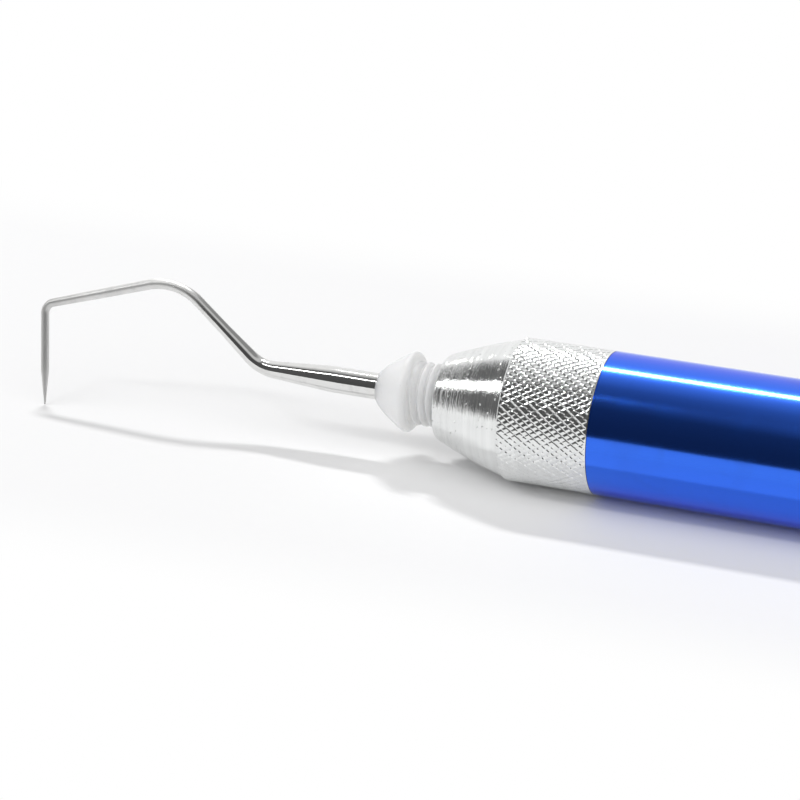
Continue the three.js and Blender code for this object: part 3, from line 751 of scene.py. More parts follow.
def board_laminate():
    surface = Surface("board_laminate", (0.02, 0.17, 0.06), 0.0, 0.35)
    graph = surface.graph
    _, split = graph.place()
    across = graph.math("ABSOLUTE", split[1])
    up = graph.math("SUBTRACT", split[2], AXIS_Z)
    aside = graph.math("SUBTRACT", across, LEAD_OFFSET)
    pad = graph.math("LESS_THAN", graph.hypotenuse(aside, up), PAD_R)
    track = graph.math(
        "MULTIPLY",
        graph.math("LESS_THAN", graph.math("ABSOLUTE", aside), TRACK_HALF),
        graph.math("GREATER_THAN", up, 0.0),
    )
    green = surface.mix(track, surface.base, (0.035, 0.25, 0.09, 1.0))
    surface.set("Base Color", surface.mix(pad, green, (0.72, 0.72, 0.7, 1.0)))
    surface.set("Metallic", pad)
    surface.grained(5000.0, 0.15, 0.03 * MM)
    return surface.material


CHIP_CAP_FROM = 1.2 * MM  # where the resistor's metal caps start, to each side of the axis


def chip_black():
    surface = Surface("chip_black", (0.02, 0.02, 0.022), 0.0, 0.5)
    graph = surface.graph
    _, split = graph.place()
    cap = graph.math("GREATER_THAN", graph.math("ABSOLUTE", split[1]), CHIP_CAP_FROM)
    surface.set("Base Color", surface.mix(cap, surface.base, (0.75, 0.75, 0.74, 1.0)))
    surface.set("Metallic", cap)
    surface.roughen(cap, 0.55, 0.3)
    surface.grained(8000.0, 0.3, 0.02 * MM)
    return surface.material


def turned_metal(name, base, roughness, rings_per_metre, strength):
    surface = Surface(name, base, 1.0, roughness)
    rings = surface.group("turning", Rings_per_Metre=rings_per_metre, Waver=50.0)
    marks = surface.group("handling", Smudges_per_Metre=700.0)
    surface.smudge(marks["Smudge"], 0.86)
    surface.roughen(rings["Shade"], roughness * 0.8, roughness * 1.2)
    surface.set("Normal", surface.bump(rings["Height"], strength, 0.03 * MM))
    return surface.material


def brass():
    return turned_metal("brass", (0.72, 0.5, 0.19), 0.25, 8000.0, 0.4)


def cell_can():
    return turned_metal("cell_can", (0.66, 0.66, 0.67), 0.3, 2500.0, 0.1)


def spring_steel():
    return turned_metal("spring_steel", (0.6, 0.61, 0.62), 0.26, 6000.0, 0.15)


PALE_BAND = 7.0 * MM  # at the front end of each cell's film


def cell_label():
    surface = Surface("cell_label", settings().finish.label, 0.0, 0.32)
    graph = surface.graph
    _, split = graph.place()
    bands = []
    for node in ("battery_front_sleeve", "battery_rear_sleeve"):
        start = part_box(node)[0].x
        after = graph.math("GREATER_THAN", split[0], start - MM)
        before = graph.math("LESS_THAN", split[0], start + PALE_BAND)
        bands.append(graph.math("MULTIPLY", after, before))
    pale = graph.math("MAXIMUM", *bands)
    surface.set("Base Color", surface.mix(pale, surface.base, (0.55, 0.56, 0.57, 1.0)))
    surface.set("Coat Weight", 0.4)
    surface.grained(4000.0, 0.1, 0.03 * MM)
    return surface.material


FINISHES = (
    polished_steel,
    frosted_plastic,
    turned_aluminium,
    blue_anodised,
    ring_rubber,
    lamp_epoxy,
    phosphor,
    tinned_wire,
    white_plastic,
    button_plastic,
    black_plastic,
    board_laminate,
    chip_black,
    brass,
    cell_can,
    cell_label,
    spring_steel,
)
FINISH_MAKERS = {maker.__name__: maker for maker in FINISHES}
FINISHED = {}


def finish(name):
    """The material of that name, built when it is first asked for."""
    if name not in FINISHED:
        FINISHED[name] = FINISH_MAKERS[name]()
    return FINISHED[name]


# Meshes


SAME = 1e-9  # two numbers of millimetres that differ by less are one place
ON_AXIS = 1e-6  # a radius below this, in millimetres, closes the end of a turned piece
ARC_STEP = math.radians(15)  # at most, between the points of a rounded corner
# From an arc to its support points, and the straight that one needs, as shares of the reach
SUPPORT, SUPPORT_ROOM = 0.3, 1.4
LATTICE_RATIO = 3  # sides of a ring in a lattice, for each side of the other rings


def new_object(name, data):
    piece = bpy.data.objects.new(name, data)
    bpy.context.scene.collection.objects.link(piece)
    return piece


def fillet(before, corner, after, radius):
    """An arc that rounds a corner: the directions into and out of the corner, how far from it
    the arc starts and ends, the arc's centre and its turn, positive to the left."""
    into, out = corner - before, after - corner
    into, out = into / np.linalg.norm(into), out / np.linalg.norm(out)
    turn = math.acos(np.clip(into @ out, -1.0, 1.0))
    side = 1.0 if into[0] * out[1] - into[1] * out[0] > 0 else -1.0
    reach = radius * math.tan(turn / 2)
    centre = corner - into * reach + side * radius * np.array([-into[1], into[0]])
    return into, out, reach, centre, side * turn


def arc(centre, start, turn, steps):
    """Points round a centre, from the start through the turn, with both ends."""
    spoke = start - centre
    points = []
    for step in range(steps + 1):
        cos, sin = math.cos(turn * step / steps), math.sin(turn * step / steps)
        points.append(centre + [cos * spoke[0] - sin * spoke[1], sin * spoke[0] + cos * spoke[1]])
    return points


def between(start, end, steps):
    """Evenly spaced points after the start, the last of them at the end."""
    return [start + (end - start) * step / steps for step in range(1, steps + 1)]


def arc_corner(before, corner, after):
    """Points of an arc that rounds a corner, with a support point on each straight beside it
    that is long enough for one."""
    before, here, after = (np.array(point[:2]) for point in (before, corner, after))
    into, out, reach, centre, turn = fillet(before, here, after, corner[2])
    start = here - into * reach
    points = arc(centre, start, turn, max(3, math.ceil(abs(turn) / ARC_STEP)))
    if np.linalg.norm(here - before) > SUPPORT_ROOM * reach:
        points.insert(0, start - into * SUPPORT * reach)
    if np.linalg.norm(after - here) > SUPPORT_ROOM * reach:
        points.append(here + out * (1.0 + SUPPORT) * reach)
    return [tuple(point) for point in points]


def softened(outline):
    """An outline in which each corner that gives a radius is rounded."""
    points = []
    for i, corner in enumerate(outline):
        if len(corner) > 2:
            points += arc_corner(outline[i - 1], corner, outline[(i + 1) % len(outline)])
        else:
            points.append(tuple(corner))
    return points


def even_run(start, end, radius, step):
    """Evenly spaced outline points along a cylinder."""
    steps = max(1, round(abs(end - start) / step))
    return [(start + (end - start) * i / steps, radius) for i in range(steps + 1)]


def ring_faces(first, first_count, second, second_count):
    """Faces between two rings. One may be a single point, or have a whole multiple of the sides."""
    faces = []
    if first_count < second_count and first_count > 1:
        flipped = ring_faces(second, second_count, first, first_count)
        return [tuple(reversed(face)) for face in flipped]
    if first_count == 1:
        for j in range(second_count):
            faces.append((first, second + (j + 1) % second_count, second + j))
        return faces
    if second_count == 1:
        for j in range(first_count):
            faces.append((first + j, first + (j + 1) % first_count, second))
        return faces
    ratio = first_count // second_count
    for j in range(second_count):
        near, far = second + j, second + (j + 1) % second_count
        fine = [first + (j * ratio + step) % first_count for step in range(ratio + 1)]
        if ratio == 1:
            faces.append((fine[0], fine[1], far, near))
            continue
        middle = (ratio + 1) // 2
        for step in range(ratio):
            faces.append((fine[step], fine[step + 1], near if step < middle else far))
        faces.append((fine[middle], far, near))
    return faces


def lathe(name, outline, sides, start_x, lattice=None):
    """A mesh turned round the tool's axis. Outlines run forwards outside and back through a bore.

    An outline's corners are (along, radius), or (along, radius, round) where they are rounded.
    lattice is (start, end, radius, rows): there the rings have more sides, and each cell gets a
    vertex in its middle, so that edges run along both diagonals.
    """
    vertices, faces, rings = [], [], []

    def add_ring(along, radius, ring_sides):
        first = len(vertices)
        if radius < ON_AXIS:
            vertices.append((along, 0.0, 0.0))
            ring_sides = 1
        else:
            turns = math.tau * np.arange(ring_sides) / ring_sides
            vertices.extend(zip([along] * ring_sides, radius * np.cos(turns), radius * np.sin(turns)))
        rings.append((first, ring_sides))

    outline = softened(outline)
    cells = set()
    for along, radius in outline:
        beside = lattice is not None and abs(radius - lattice[2]) < SAME
        if beside and abs(along - lattice[0]) < SAME:
            start, end, _, rows = lattice
            for row in range(rows + 1):
                add_ring(start + (end - start) * row / rows, radius, sides * LATTICE_RATIO)
                if row < rows:
                    cells.add(len(rings) - 1)
        elif not (beside and abs(along - lattice[1]) < SAME):
            add_ring(along, radius, sides)
    pairs = [(i, i + 1) for i in range(len(rings) - 1)]
    if outline[0][1] > 0:
        pairs.append((len(rings) - 1, 0))
    for near, far in pairs:
        quads = ring_faces(*rings[near], *rings[far])
        if near not in cells:
            faces += quads
            continue
        radius = lattice[2]
        half_turn = math.pi / rings[near][1]
        for j, quad in enumerate(quads):
            turn = 2 * j * half_turn + half_turn
            along = (vertices[quad[0]][0] + vertices[quad[2]][0]) / 2
            vertices.append((along, radius * math.cos(turn), radius * math.sin(turn)))
            centre = len(vertices) - 1
            faces += [(quad[k], quad[(k + 1) % 4], centre) for k in range(4)]
    places = np.array(vertices) * MM + [start_x, 0.0, AXIS_Z]
    mesh = bpy.data.meshes.new(name)
    mesh.from_pydata(places.tolist(), [], faces)
    mesh.validate()
    return new_object(name, mesh)


def smooth(piece, sharp_angle=35.0):
    piece.data.shade_smooth()
    piece.data.set_sharp_from_angle(angle=math.radians(sharp_angle))
    return piece


def seat(piece, slot, *nodes, materials=()):
    """Gives a piece its finish and its body, and lets it stand for its nodes."""
    piece.data.materials.clear()
    for name in (slot, *materials):
        piece.data.materials.append(finish(name))
    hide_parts(*nodes)
    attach(piece, BODY_OF[nodes[0]])
    return piece


def wire(name, points, radii, sides, slot):
    """A round wire through points in metres, as a mesh."""
    data = bpy.data.curves.new(name, "CURVE")
    data.dimensions = "3D"
    spline = data.splines.new("POLY")
    spline.points.add(len(points) - 1)
    for point, place, radius in zip(spline.points, points, radii):
        point.co = (*place, 1.0)
        point.radius = radius
    piece = new_object(name, data)
    return smooth(grow(piece, "wire", {"Sides": sides, "Material": finish(slot)}), 60.0)


# In a copy of one of the model's own meshes, points closer than this are merged, faces that meet
# at less than the first angle are joined, and edges that bend by more than the second are broken.
MERGE_WITHIN = 0.001 * MM
FLAT_ANGLE, HARD_ANGLE = math.radians(0.5), 0.9


def finished_copy(node, name, slot, edge=0.06, sharp_angle=32.0):
    """A merged copy of a rigid node, with its turned faces smooth and its hard edges broken
    at a distance given in millimetres."""
    mesh = frame["nodes"][node].data.copy()
    mesh.name = name
    work = bmesh.new()
    work.from_mesh(mesh)
    bmesh.ops.remove_doubles(work, verts=work.verts, dist=MERGE_WITHIN)
    bmesh.ops.dissolve_limit(work, angle_limit=FLAT_ANGLE, verts=work.verts, edges=work.edges)
    hard = [e for e in work.edges if len(e.link_faces) == 2 and e.calc_face_angle() > HARD_ANGLE]
    bmesh.ops.bevel(
        work, geom=hard, offset=edge * MM, segments=2, profile=0.5, affect="EDGES", clamp_overlap=True
    )
    bmesh.ops.triangulate(work, faces=[f for f in work.faces if len(f.verts) > 4])
    work.to_mesh(mesh)
    work.free()
    return seat(smooth(new_object(name, mesh), sharp_angle), slot, node)


def cut(piece, tree_name, ends, radius, reach, fade, slot, **sizes):
    """Cuts a knurl or a thread into a piece, between two places along the axis. All in metres.

    It takes the points that lie within reach of the radius, and fades out at both ends. The
    sizes feed the tree's inputs of the same names.
    """
    inputs = {
        "Axis Height": AXIS_Z,
        "Start": ends[0],
        "End": ends[1],
        "Least Radius": radius - reach,
        "Greatest Radius": radius + reach,
        "Fade": fade,
        "Material": finish(slot),
    }
    inputs.update((name.replace("_", " "), value) for name, value in sizes.items())
    return grow(piece, tree_name, inputs)


# Pieces

# Sizes that outlines share, in millimetres as they are
FIT, SEAT = 0.1, 0.3  # between round pieces, and between faces that meet along the axis
RING_SETBACK = 0.7  # of a ring's groove, from the collar's band or from the cap's front end
RING_DEPTH, RING_WIDTH = 0.65, 0.9  # of the groove
SPIGOT_BORE_R = 4.8

# How finely pieces are divided
BARREL_SIDES, BAND_SIDES, ROUND_SIDES, LAMP_SIDES, CUP_SIDES, CHIP_SIDES = 144, 132, 96, 64, 48, 32
HOOK_SIDES, LEAD_SIDES, COIL_SIDES = 32, 20, 12
RING_STEPS = 24  # round the section of a rubber ring
KNURL_ROWS = 6  # of cells, for each crossing of the grooves
NECK_STEPS, SPIGOT_STEPS = 12, 8  # for each turn of a thread
COIL_STEPS = 40  # for each curl of a spring
STRAIGHT_STEP, BEND_STEP = 0.5 * MM, 3.0  # along the hook, in metres and in degrees
PIN_STEPS = 24  # for the hook's pin


def hook_route(hook):
    """Points in the hook's plane, with their distances, and where its three bends are."""
    knee = np.array([-hook.shank_length, 0.0])
    apex = knee + [-hook.rise / math.tan(hook.rise_angle), hook.rise]
    corner = apex + [-hook.arm_span, -hook.arm_span * math.tan(hook.arm_angle)]
    tip_height = (hook.clearance - AXIS_Z) / math.cos(hook.roll)
    tip = np.array([corner[0] - (corner[1] - tip_height) * math.tan(hook.pin_lean), tip_height])
    corners = [np.array([hook.shank_socket, 0.0]), knee, apex, corner, tip]
    points, bend_ends = [corners[0]], []
    for i, bend in enumerate((hook.knee_bend, hook.apex_bend, hook.pin_bend), start=1):
        into, _, reach, centre, turn = fillet(*corners[i - 1 : i + 2], bend)
        start = corners[i] - into * reach
        steps = max(2, round(np.linalg.norm(start - points[-1]) / STRAIGHT_STEP))
        points += between(points[-1], start, steps)[:-1]
        first = len(points)
        points += arc(centre, start, turn, max(6, round(math.degrees(abs(turn)) / BEND_STEP)))
        bend_ends.append((first, len(points) - 1))
    points = np.array(points + between(points[-1], corners[-1], PIN_STEPS))
    distances = np.concatenate([[0.0], np.cumsum(np.linalg.norm(np.diff(points, axis=0), axis=1))])
    bend_places = [(distances[a], distances[b]) for a, b in bend_ends]
    return points, distances, bend_places


class WEEDING_TOOL_OT_hook(bpy.types.Operator):
    """Bends the tapered steel hook"""

    bl_idname = "weeding_tool.hook"
    bl_label = "Hook"

    def execute(self, context):
        hook = settings().hook
        points, distances, (knee, apex, pin) = hook_route(hook)
        total = distances[-1]
        stations = (
            (0.0, hook.shank_diameter),
            (hook.shank_socket + hook.shank_plain, hook.shank_diameter),
            (sum(knee) / 2, hook.knee_diameter),
            ((knee[1] + apex[0]) / 2, hook.rise_diameter),
            (sum(apex) / 2, hook.apex_diameter),
            ((apex[1] + pin[0]) / 2, hook.arm_diameter),
            (sum(pin) / 2, hook.pin_diameter),
            (total - hook.point_length, hook.pin_diameter),
            (total, hook.point_diameter),
        )
        radii = np.interp(distances, *zip(*stations)) / 2
        lean, rise = math.sin(hook.roll), math.cos(hook.roll)
        route = [(HEAD_X + x, r * lean, AXIS_Z + r * rise) for x, r in points]
        piece = wire("hook_steel", route, radii, HOOK_SIDES, "polished_steel")
        seat(piece, "polished_steel", "hook_needle")
        return {"FINISHED"}


SHANK_FIT = 0.04  # between the shank and the head's socket
RIM_TURN = 0.7  # of the rim's round, from the dome to its back, in half turns
DOME_PULL_ALONG, DOME_PULL_OUT = 0.22, 0.41  # of the curve's handle, along and across the dome
RIM_STEPS, DOME_STEPS = 14, 15
NECK_CHAMFER = 0.3
LAMP_BORE_R, LAMP_BORE_DEPTH = 1.8, 5.2  # in the end of the neck


class WEEDING_TOOL_OT_head(bpy.types.Operator):
    """Makes the frosted head with its threaded neck"""

    bl_idname = "weeding_tool.head"
    bl_label = "Frosted Head"

    def execute(self, context):
        head, hook = settings().head, settings().hook
        dome, rim_round = head.dome_length / MM, head.rim_round / MM
        rim_r, tip_r = head.rim_diameter / MM / 2, head.tip_diameter / MM / 2
        neck_r, neck_end = head.neck_diameter / MM / 2, dome + head.neck_length / MM
        shank_hole = hook.shank_diameter / MM / 2 + SHANK_FIT
        socket, lamp_bore = hook.shank_socket / MM + SEAT, neck_end - LAMP_BORE_DEPTH
        rim = []
        for i in range(RIM_STEPS + 1):
            turn = math.pi * (RIM_TURN - RIM_TURN * i / RIM_STEPS)
            centre = (dome - rim_round, rim_r - rim_round)
            rim.append((centre[0] + rim_round * math.cos(turn), centre[1] + rim_round * math.sin(turn)))
        tip, dome_end = np.array([0.0, tip_r]), np.array(rim[0])
        handle = np.array([dome_end[0] * DOME_PULL_ALONG, tip_r + (dome_end[1] - tip_r) * DOME_PULL_OUT])
        shares = np.linspace(0.0, 1.0, DOME_STEPS + 1)[:-1]
        skin = [tuple((1 - t) ** 2 * tip + 2 * t * (1 - t) * handle + t * t * dome_end) for t in shares]
        outline = [(socket, 0.0), (socket, shank_hole), (0.06, shank_hole), (0.0, tip_r - 0.12)]
        outline += skin + rim
        outline += [(dome, neck_r + 0.12)]
        outline += even_run(dome + 0.05, neck_end - NECK_CHAMFER, neck_r, head.pitch / MM / NECK_STEPS)
        outline += [
            (neck_end, neck_r - NECK_CHAMFER),
            (neck_end, LAMP_BORE_R),
            (lamp_bore, LAMP_BORE_R),
            (lamp_bore, 0.0),
        ]
        piece = lathe("head_frosted", outline, ROUND_SIDES, HEAD_X)
        cut(
            piece,
            "thread",
            ends=(HEAD_X + head.dome_length + 0.1 * MM, HEAD_X + neck_end * MM - 0.1 * MM),
            radius=head.neck_diameter / 2,
            reach=0.05 * MM,
            fade=0.25 * MM,
            slot="frosted_plastic",
            Pitch=head.pitch,
            Depth=head.thread_depth,
        )
        seat(smooth(piece, 50.0), "frosted_plastic", "hook_head")
        return {"FINISHED"}


def ring_groove(start, spigot_r):
    """Outline points of a rubber ring's groove, to the end of its floor, and where that is."""
    floor_r, end = spigot_r - RING_DEPTH, start + RING_WIDTH
    return [(start, spigot_r), (start, floor_r), (end, floor_r)], end


def knurled_piece(name, outline, start_x, band, spigot):
    """A turned piece with a knurl over its band and a thread on its spigot.

    Both are (start, end) in millimetres from the piece's front.
    """
    collar = settings().collar
    rows = round(KNURL_ROWS * collar.crossings)
    piece = lathe(name, outline, BAND_SIDES, start_x, lattice=(*band, BODY_R / MM, rows))
    band, spigot = ([start_x + place * MM for place in ends] for ends in (band, spigot))
    cut(
        piece,
        "knurl",
        ends=band,
        radius=BODY_R,
        reach=0.02 * MM,
        fade=0.12 * MM,
        slot="turned_aluminium",
        Grooves=collar.grooves,
        Crossings=collar.crossings,
        Wide_Depth=collar.knurl_depth,
        Narrow_Depth=collar.second_depth,
    )
    cut(
        piece,
        "thread",
        ends=spigot,
        radius=collar.spigot_diameter / 2,
        reach=0.02 * MM,
        fade=0.3 * MM,
        slot="turned_aluminium",
        Pitch=collar.pitch,
        Depth=collar.thread_depth,
    )
    return smooth(piece, 17.0)


def rubber_ring(name, node):
    low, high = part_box(node)
    wire_r = (high.x - low.x) / 2
    ring_r = (high.y - low.y) / 2 - wire_r
    middle = (low.x + high.x) / 2
    turns = math.tau * np.arange(RING_STEPS) / RING_STEPS
    outline = [((wire_r * -math.cos(t)) / MM, (ring_r + wire_r * math.sin(t)) / MM) for t in turns]
    piece = lathe(name, outline, ROUND_SIDES, middle)
    return seat(smooth(piece, 80.0), "ring_rubber", node)


MOUTH_CHAMFER = 0.15  # of the hole for the head's neck
BOARD_RECESS_R, BOARD_RECESS = 5.2, 2.6  # in the end of the spigot
NECK_HOLE_DEPTH = 10.0  # of the hole that the head's neck screws into


class WEEDING_TOOL_OT_collar(bpy.types.Operator):
    """Turns and knurls the nose collar, and fits its rubber ring"""

    bl_idname = "weeding_tool.collar"
    bl_label = "Nose Collar"

    def execute(self, context):
        collar, head = settings().collar, settings().head
        body_r = BODY_R / MM
        cone, band_end = collar.cone_length / MM, (collar.cone_length + collar.band_length) / MM
        front_r, hole_r = collar.cone_diameter / MM / 2, head.neck_diameter / MM / 2 + FIT
        spigot_r, spigot_end = collar.spigot_diameter / MM / 2, band_end + collar.spigot_length / MM
        groove, groove_end = ring_groove(band_end + RING_SETBACK, spigot_r)
        low, high = cone + 0.12, band_end - 0.08  # of the knurl
        cone_end_r = body_r - collar.band_step / MM
        outline = [
            (MOUTH_CHAMFER, hole_r),
            (0.0, hole_r + MOUTH_CHAMFER),
            (0.0, front_r, collar.edge_round / MM),
        ]
        for share in (0.25, 0.5, 0.75, 1.0):
            bulge = 4 * share * (1 - share) * collar.swell / MM
            outline.append((cone * share, front_r + (cone_end_r - front_r) * share + bulge))
        outline += [(cone + 0.02, body_r - 0.1), (low, body_r), (high, body_r)]
        outline += [(band_end, body_r - 0.005), (band_end, spigot_r), *groove]
        outline += even_run(groove_end, spigot_end - 0.15, spigot_r, collar.pitch / MM / SPIGOT_STEPS)
        outline += [
            (spigot_end, spigot_r - 0.3),
            (spigot_end, BOARD_RECESS_R),
            (spigot_end - BOARD_RECESS, BOARD_RECESS_R),
            (spigot_end - BOARD_RECESS, SPIGOT_BORE_R),
            (NECK_HOLE_DEPTH, SPIGOT_BORE_R),
            (NECK_HOLE_DEPTH, hole_r),
        ]
        piece = knurled_piece(
            "collar_turned", outline, FACE_X, (low, high), (groove_end, spigot_end - 0.1)
        )
        seat(piece, "turned_aluminium", "nose_collar")
        rubber_ring("collar_o_ring", "nose_o_ring")
        return {"FINISHED"}


LAMP_R, LAMP_FLANGE_R = 1.5, 1.9
LAMP_FLANGE_FROM, LAMP_LENGTH = 4.3, 5.3
LAMP_CUP = [(3.2, 0.0), (3.2, 0.35), (2.6, 0.62), (2.6, 0.72), (3.5, 0.72), (3.5, 0.0)]
LAMP_CHIP = [(2.85, 0.0), (2.95, 0.4), (3.15, 0.36), (3.15, 0.0)]
LEAD_STATIONS = 8  # points along each lead


class WEEDING_TOOL_OT_lamp(bpy.types.Operator):
    """Fits the lamp, its leads, holder and board, the ring and the contact"""

    bl_idname = "weeding_tool.lamp"
    bl_label = "Lamp and Board"

    def execute(self, context):
        turns = np.linspace(0, math.pi / 2, 13)
        outline = [(LAMP_R - LAMP_R * math.cos(t), LAMP_R * math.sin(t)) for t in turns]
        outline += [
            (LAMP_FLANGE_FROM, LAMP_R),
            (LAMP_FLANGE_FROM, LAMP_FLANGE_R, 0.1),
            (LAMP_LENGTH, LAMP_FLANGE_R, 0.1),
            (LAMP_LENGTH, 0.0),
        ]
        shell = lathe("lamp_clear", outline, LAMP_SIDES, LAMP_X)
        cup = lathe("lamp_cup", LAMP_CUP, CUP_SIDES, LAMP_X)
        chip = lathe("lamp_chip", LAMP_CHIP, CHIP_SIDES, LAMP_X)
        for part, index in ((shell, 0), (cup, 1), (chip, 2)):
            for face in part.data.polygons:
                face.material_index = index
        with context.temp_override(
            active_object=shell, selected_editable_objects=[shell, cup, chip], object=shell
        ):
            bpy.ops.object.join()
        seat(smooth(shell, 40.0), "lamp_epoxy", "led_lamp", materials=("cell_can", "phosphor"))
        for node, name in (("led_lead_plus", "lead_plus"), ("led_lead_minus", "lead_minus")):
            low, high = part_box(node)
            side, up = (low.y + high.y) / 2, (low.z + high.z) / 2
            points = [(x, side, up) for x in np.linspace(low.x, high.x, LEAD_STATIONS)]
            radii = [(high.z - low.z) / 2] * LEAD_STATIONS
            seat(wire(name, points, radii, LEAD_SIDES, "tinned_wire"), "tinned_wire", node)
        finished_copy("led_holder", "lamp_holder", "white_plastic")
        finished_copy("led_board", "lamp_board", "board_laminate", edge=0.03)
        finished_copy("resistor", "board_resistor", "chip_black")
        finished_copy("board_ring", "board_clamp_ring", "brass", edge=0.04)
        finished_copy("centre_contact", "centre_button", "brass", edge=0.05)
        return {"FINISHED"}


BARREL_BORE_R = 5.6
RUN_OUT = 0.45  # of the barrel's threads, past the end of a spigot
BORE_THREAD_DEPTH = 0.22


class WEEDING_TOOL_OT_barrel(bpy.types.Operator):
    """Turns the blue barrel, with a thread in each end"""

    bl_idname = "weeding_tool.barrel"
    bl_label = "Barrel"

    def execute(self, context):
        collar = settings().collar
        low, high = barrel_box
        end, body_r = (high.x - low.x) / MM, BODY_R / MM
        thread_r = collar.spigot_diameter / MM / 2 + FIT
        run, step = collar.spigot_length / MM + RUN_OUT, collar.pitch / MM / SPIGOT_STEPS
        outline = [
            (0.0, thread_r + 0.1),
            (0.0, body_r, 0.02),
            (end, body_r, 0.02),
            (end, thread_r + 0.1),
        ]
        outline += even_run(end - 0.1, end - run, thread_r, step)
        outline += [(end - run, BARREL_BORE_R), (run, BARREL_BORE_R)]
        outline += even_run(run, 0.1, thread_r, step)
        piece = lathe("barrel_anodised", outline, BARREL_SIDES, low.x)
        for ends in ((low.x, low.x + run * MM), (high.x - run * MM, high.x)):
            cut(
                piece,
                "thread",
                ends=ends,
                radius=thread_r * MM,
                reach=0.03 * MM,
                fade=0.4 * MM,
                slot="blue_anodised",
                Pitch=collar.pitch,
                Depth=-BORE_THREAD_DEPTH * MM,
            )
        seat(smooth(piece, 32.0), "blue_anodised", "barrel")
        return {"FINISHED"}


class WEEDING_TOOL_OT_cells(bpy.types.Operator):
    """Puts the two cells in the barrel"""

    bl_idname = "weeding_tool.cells"
    bl_label = "Cells"

    def execute(self, context):
        for place in ("front", "rear"):
            finished_copy(f"battery_{place}_can", f"cell_{place}_can", "cell_can", edge=0.12)
            finished_copy(f"battery_{place}_sleeve", f"cell_{place}_film", "cell_label", edge=0.03)
        return {"FINISHED"}


CAP_PLAIN_FRONT = 1.2  # in front of the knurled band
CAP_SHOULDER_DEPTH = 1.85  # from the plain part's front edge to the seat of the switch
CAP_END_R, CAP_END_ROUND, CAP_END_WALL = 5.6, 0.45, 2.2
SWITCH_BORE_R, BUTTON_HOLE_R = 4.3, 3.5


class WEEDING_TOOL_OT_cap(bpy.types.Operator):
    """Turns and knurls the tail cap, and fits its rubber ring"""

    bl_idname = "weeding_tool.cap"
    bl_label = "Tail Cap"

    def execute(self, context):
        collar = settings().collar
        low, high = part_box("tail_cap")
        total = (high.x - low.x) / MM
        body_r, spigot_r = BODY_R / MM, collar.spigot_diameter / MM / 2
        front = collar.spigot_length / MM
        groove, groove_end = ring_groove(RING_SETBACK, spigot_r)
        band_start = front + CAP_PLAIN_FRONT
        band_end = band_start + collar.band_length / MM
        shoulder, wall = front + CAP_SHOULDER_DEPTH, total - CAP_END_WALL
        outline = [(0.0, SPIGOT_BORE_R), (0.0, spigot_r - 0.2), (0.2, spigot_r), *groove]
        outline += even_run(groove_end, front, spigot_r, collar.pitch / MM / SPIGOT_STEPS)
        outline += [
            (front, body_r, 0.15),
            (band_start - 0.02, body_r - 0.001),
            (band_start, body_r),
            (band_end, body_r),
            (band_end + 0.1, body_r - 0.05),
            (band_end + 0.15, body_r - collar.band_step / MM),
            (total, CAP_END_R, CAP_END_ROUND),
            (total, BUTTON_HOLE_R, 0.15),
            (wall, BUTTON_HOLE_R),
            (wall, SWITCH_BORE_R),
            (shoulder, SWITCH_BORE_R),
            (shoulder, SPIGOT_BORE_R),
        ]
        piece = knurled_piece(
            "cap_turned", outline, low.x, (band_start, band_end), (groove_end, front)
        )
        seat(piece, "turned_aluminium", "tail_cap")
        rubber_ring("cap_o_ring", "tail_o_ring")
        return {"FINISHED"}


BUTTON_R, BUTTON_FLANGE_R, BUTTON_FLANGE = 3.4, 4.15, 1.0
CROWN_HEIGHT = 0.7  # of the button's rounded edge and dome together
CROWN_EDGE_RISE, CROWN_EDGE_IN = 0.42, 0.55  # of the rounded edge, along the axis and inwards

# Node, name, thickness, curls, and mean diameters at the front and at the rear, in millimetres
SPRINGS = (
    ("battery_spring", "cell_spring", 0.6, 3.25, 4.4, 6.2),
    ("return_spring", "button_spring", 0.4, 4.25, 4.4, 4.4),
)


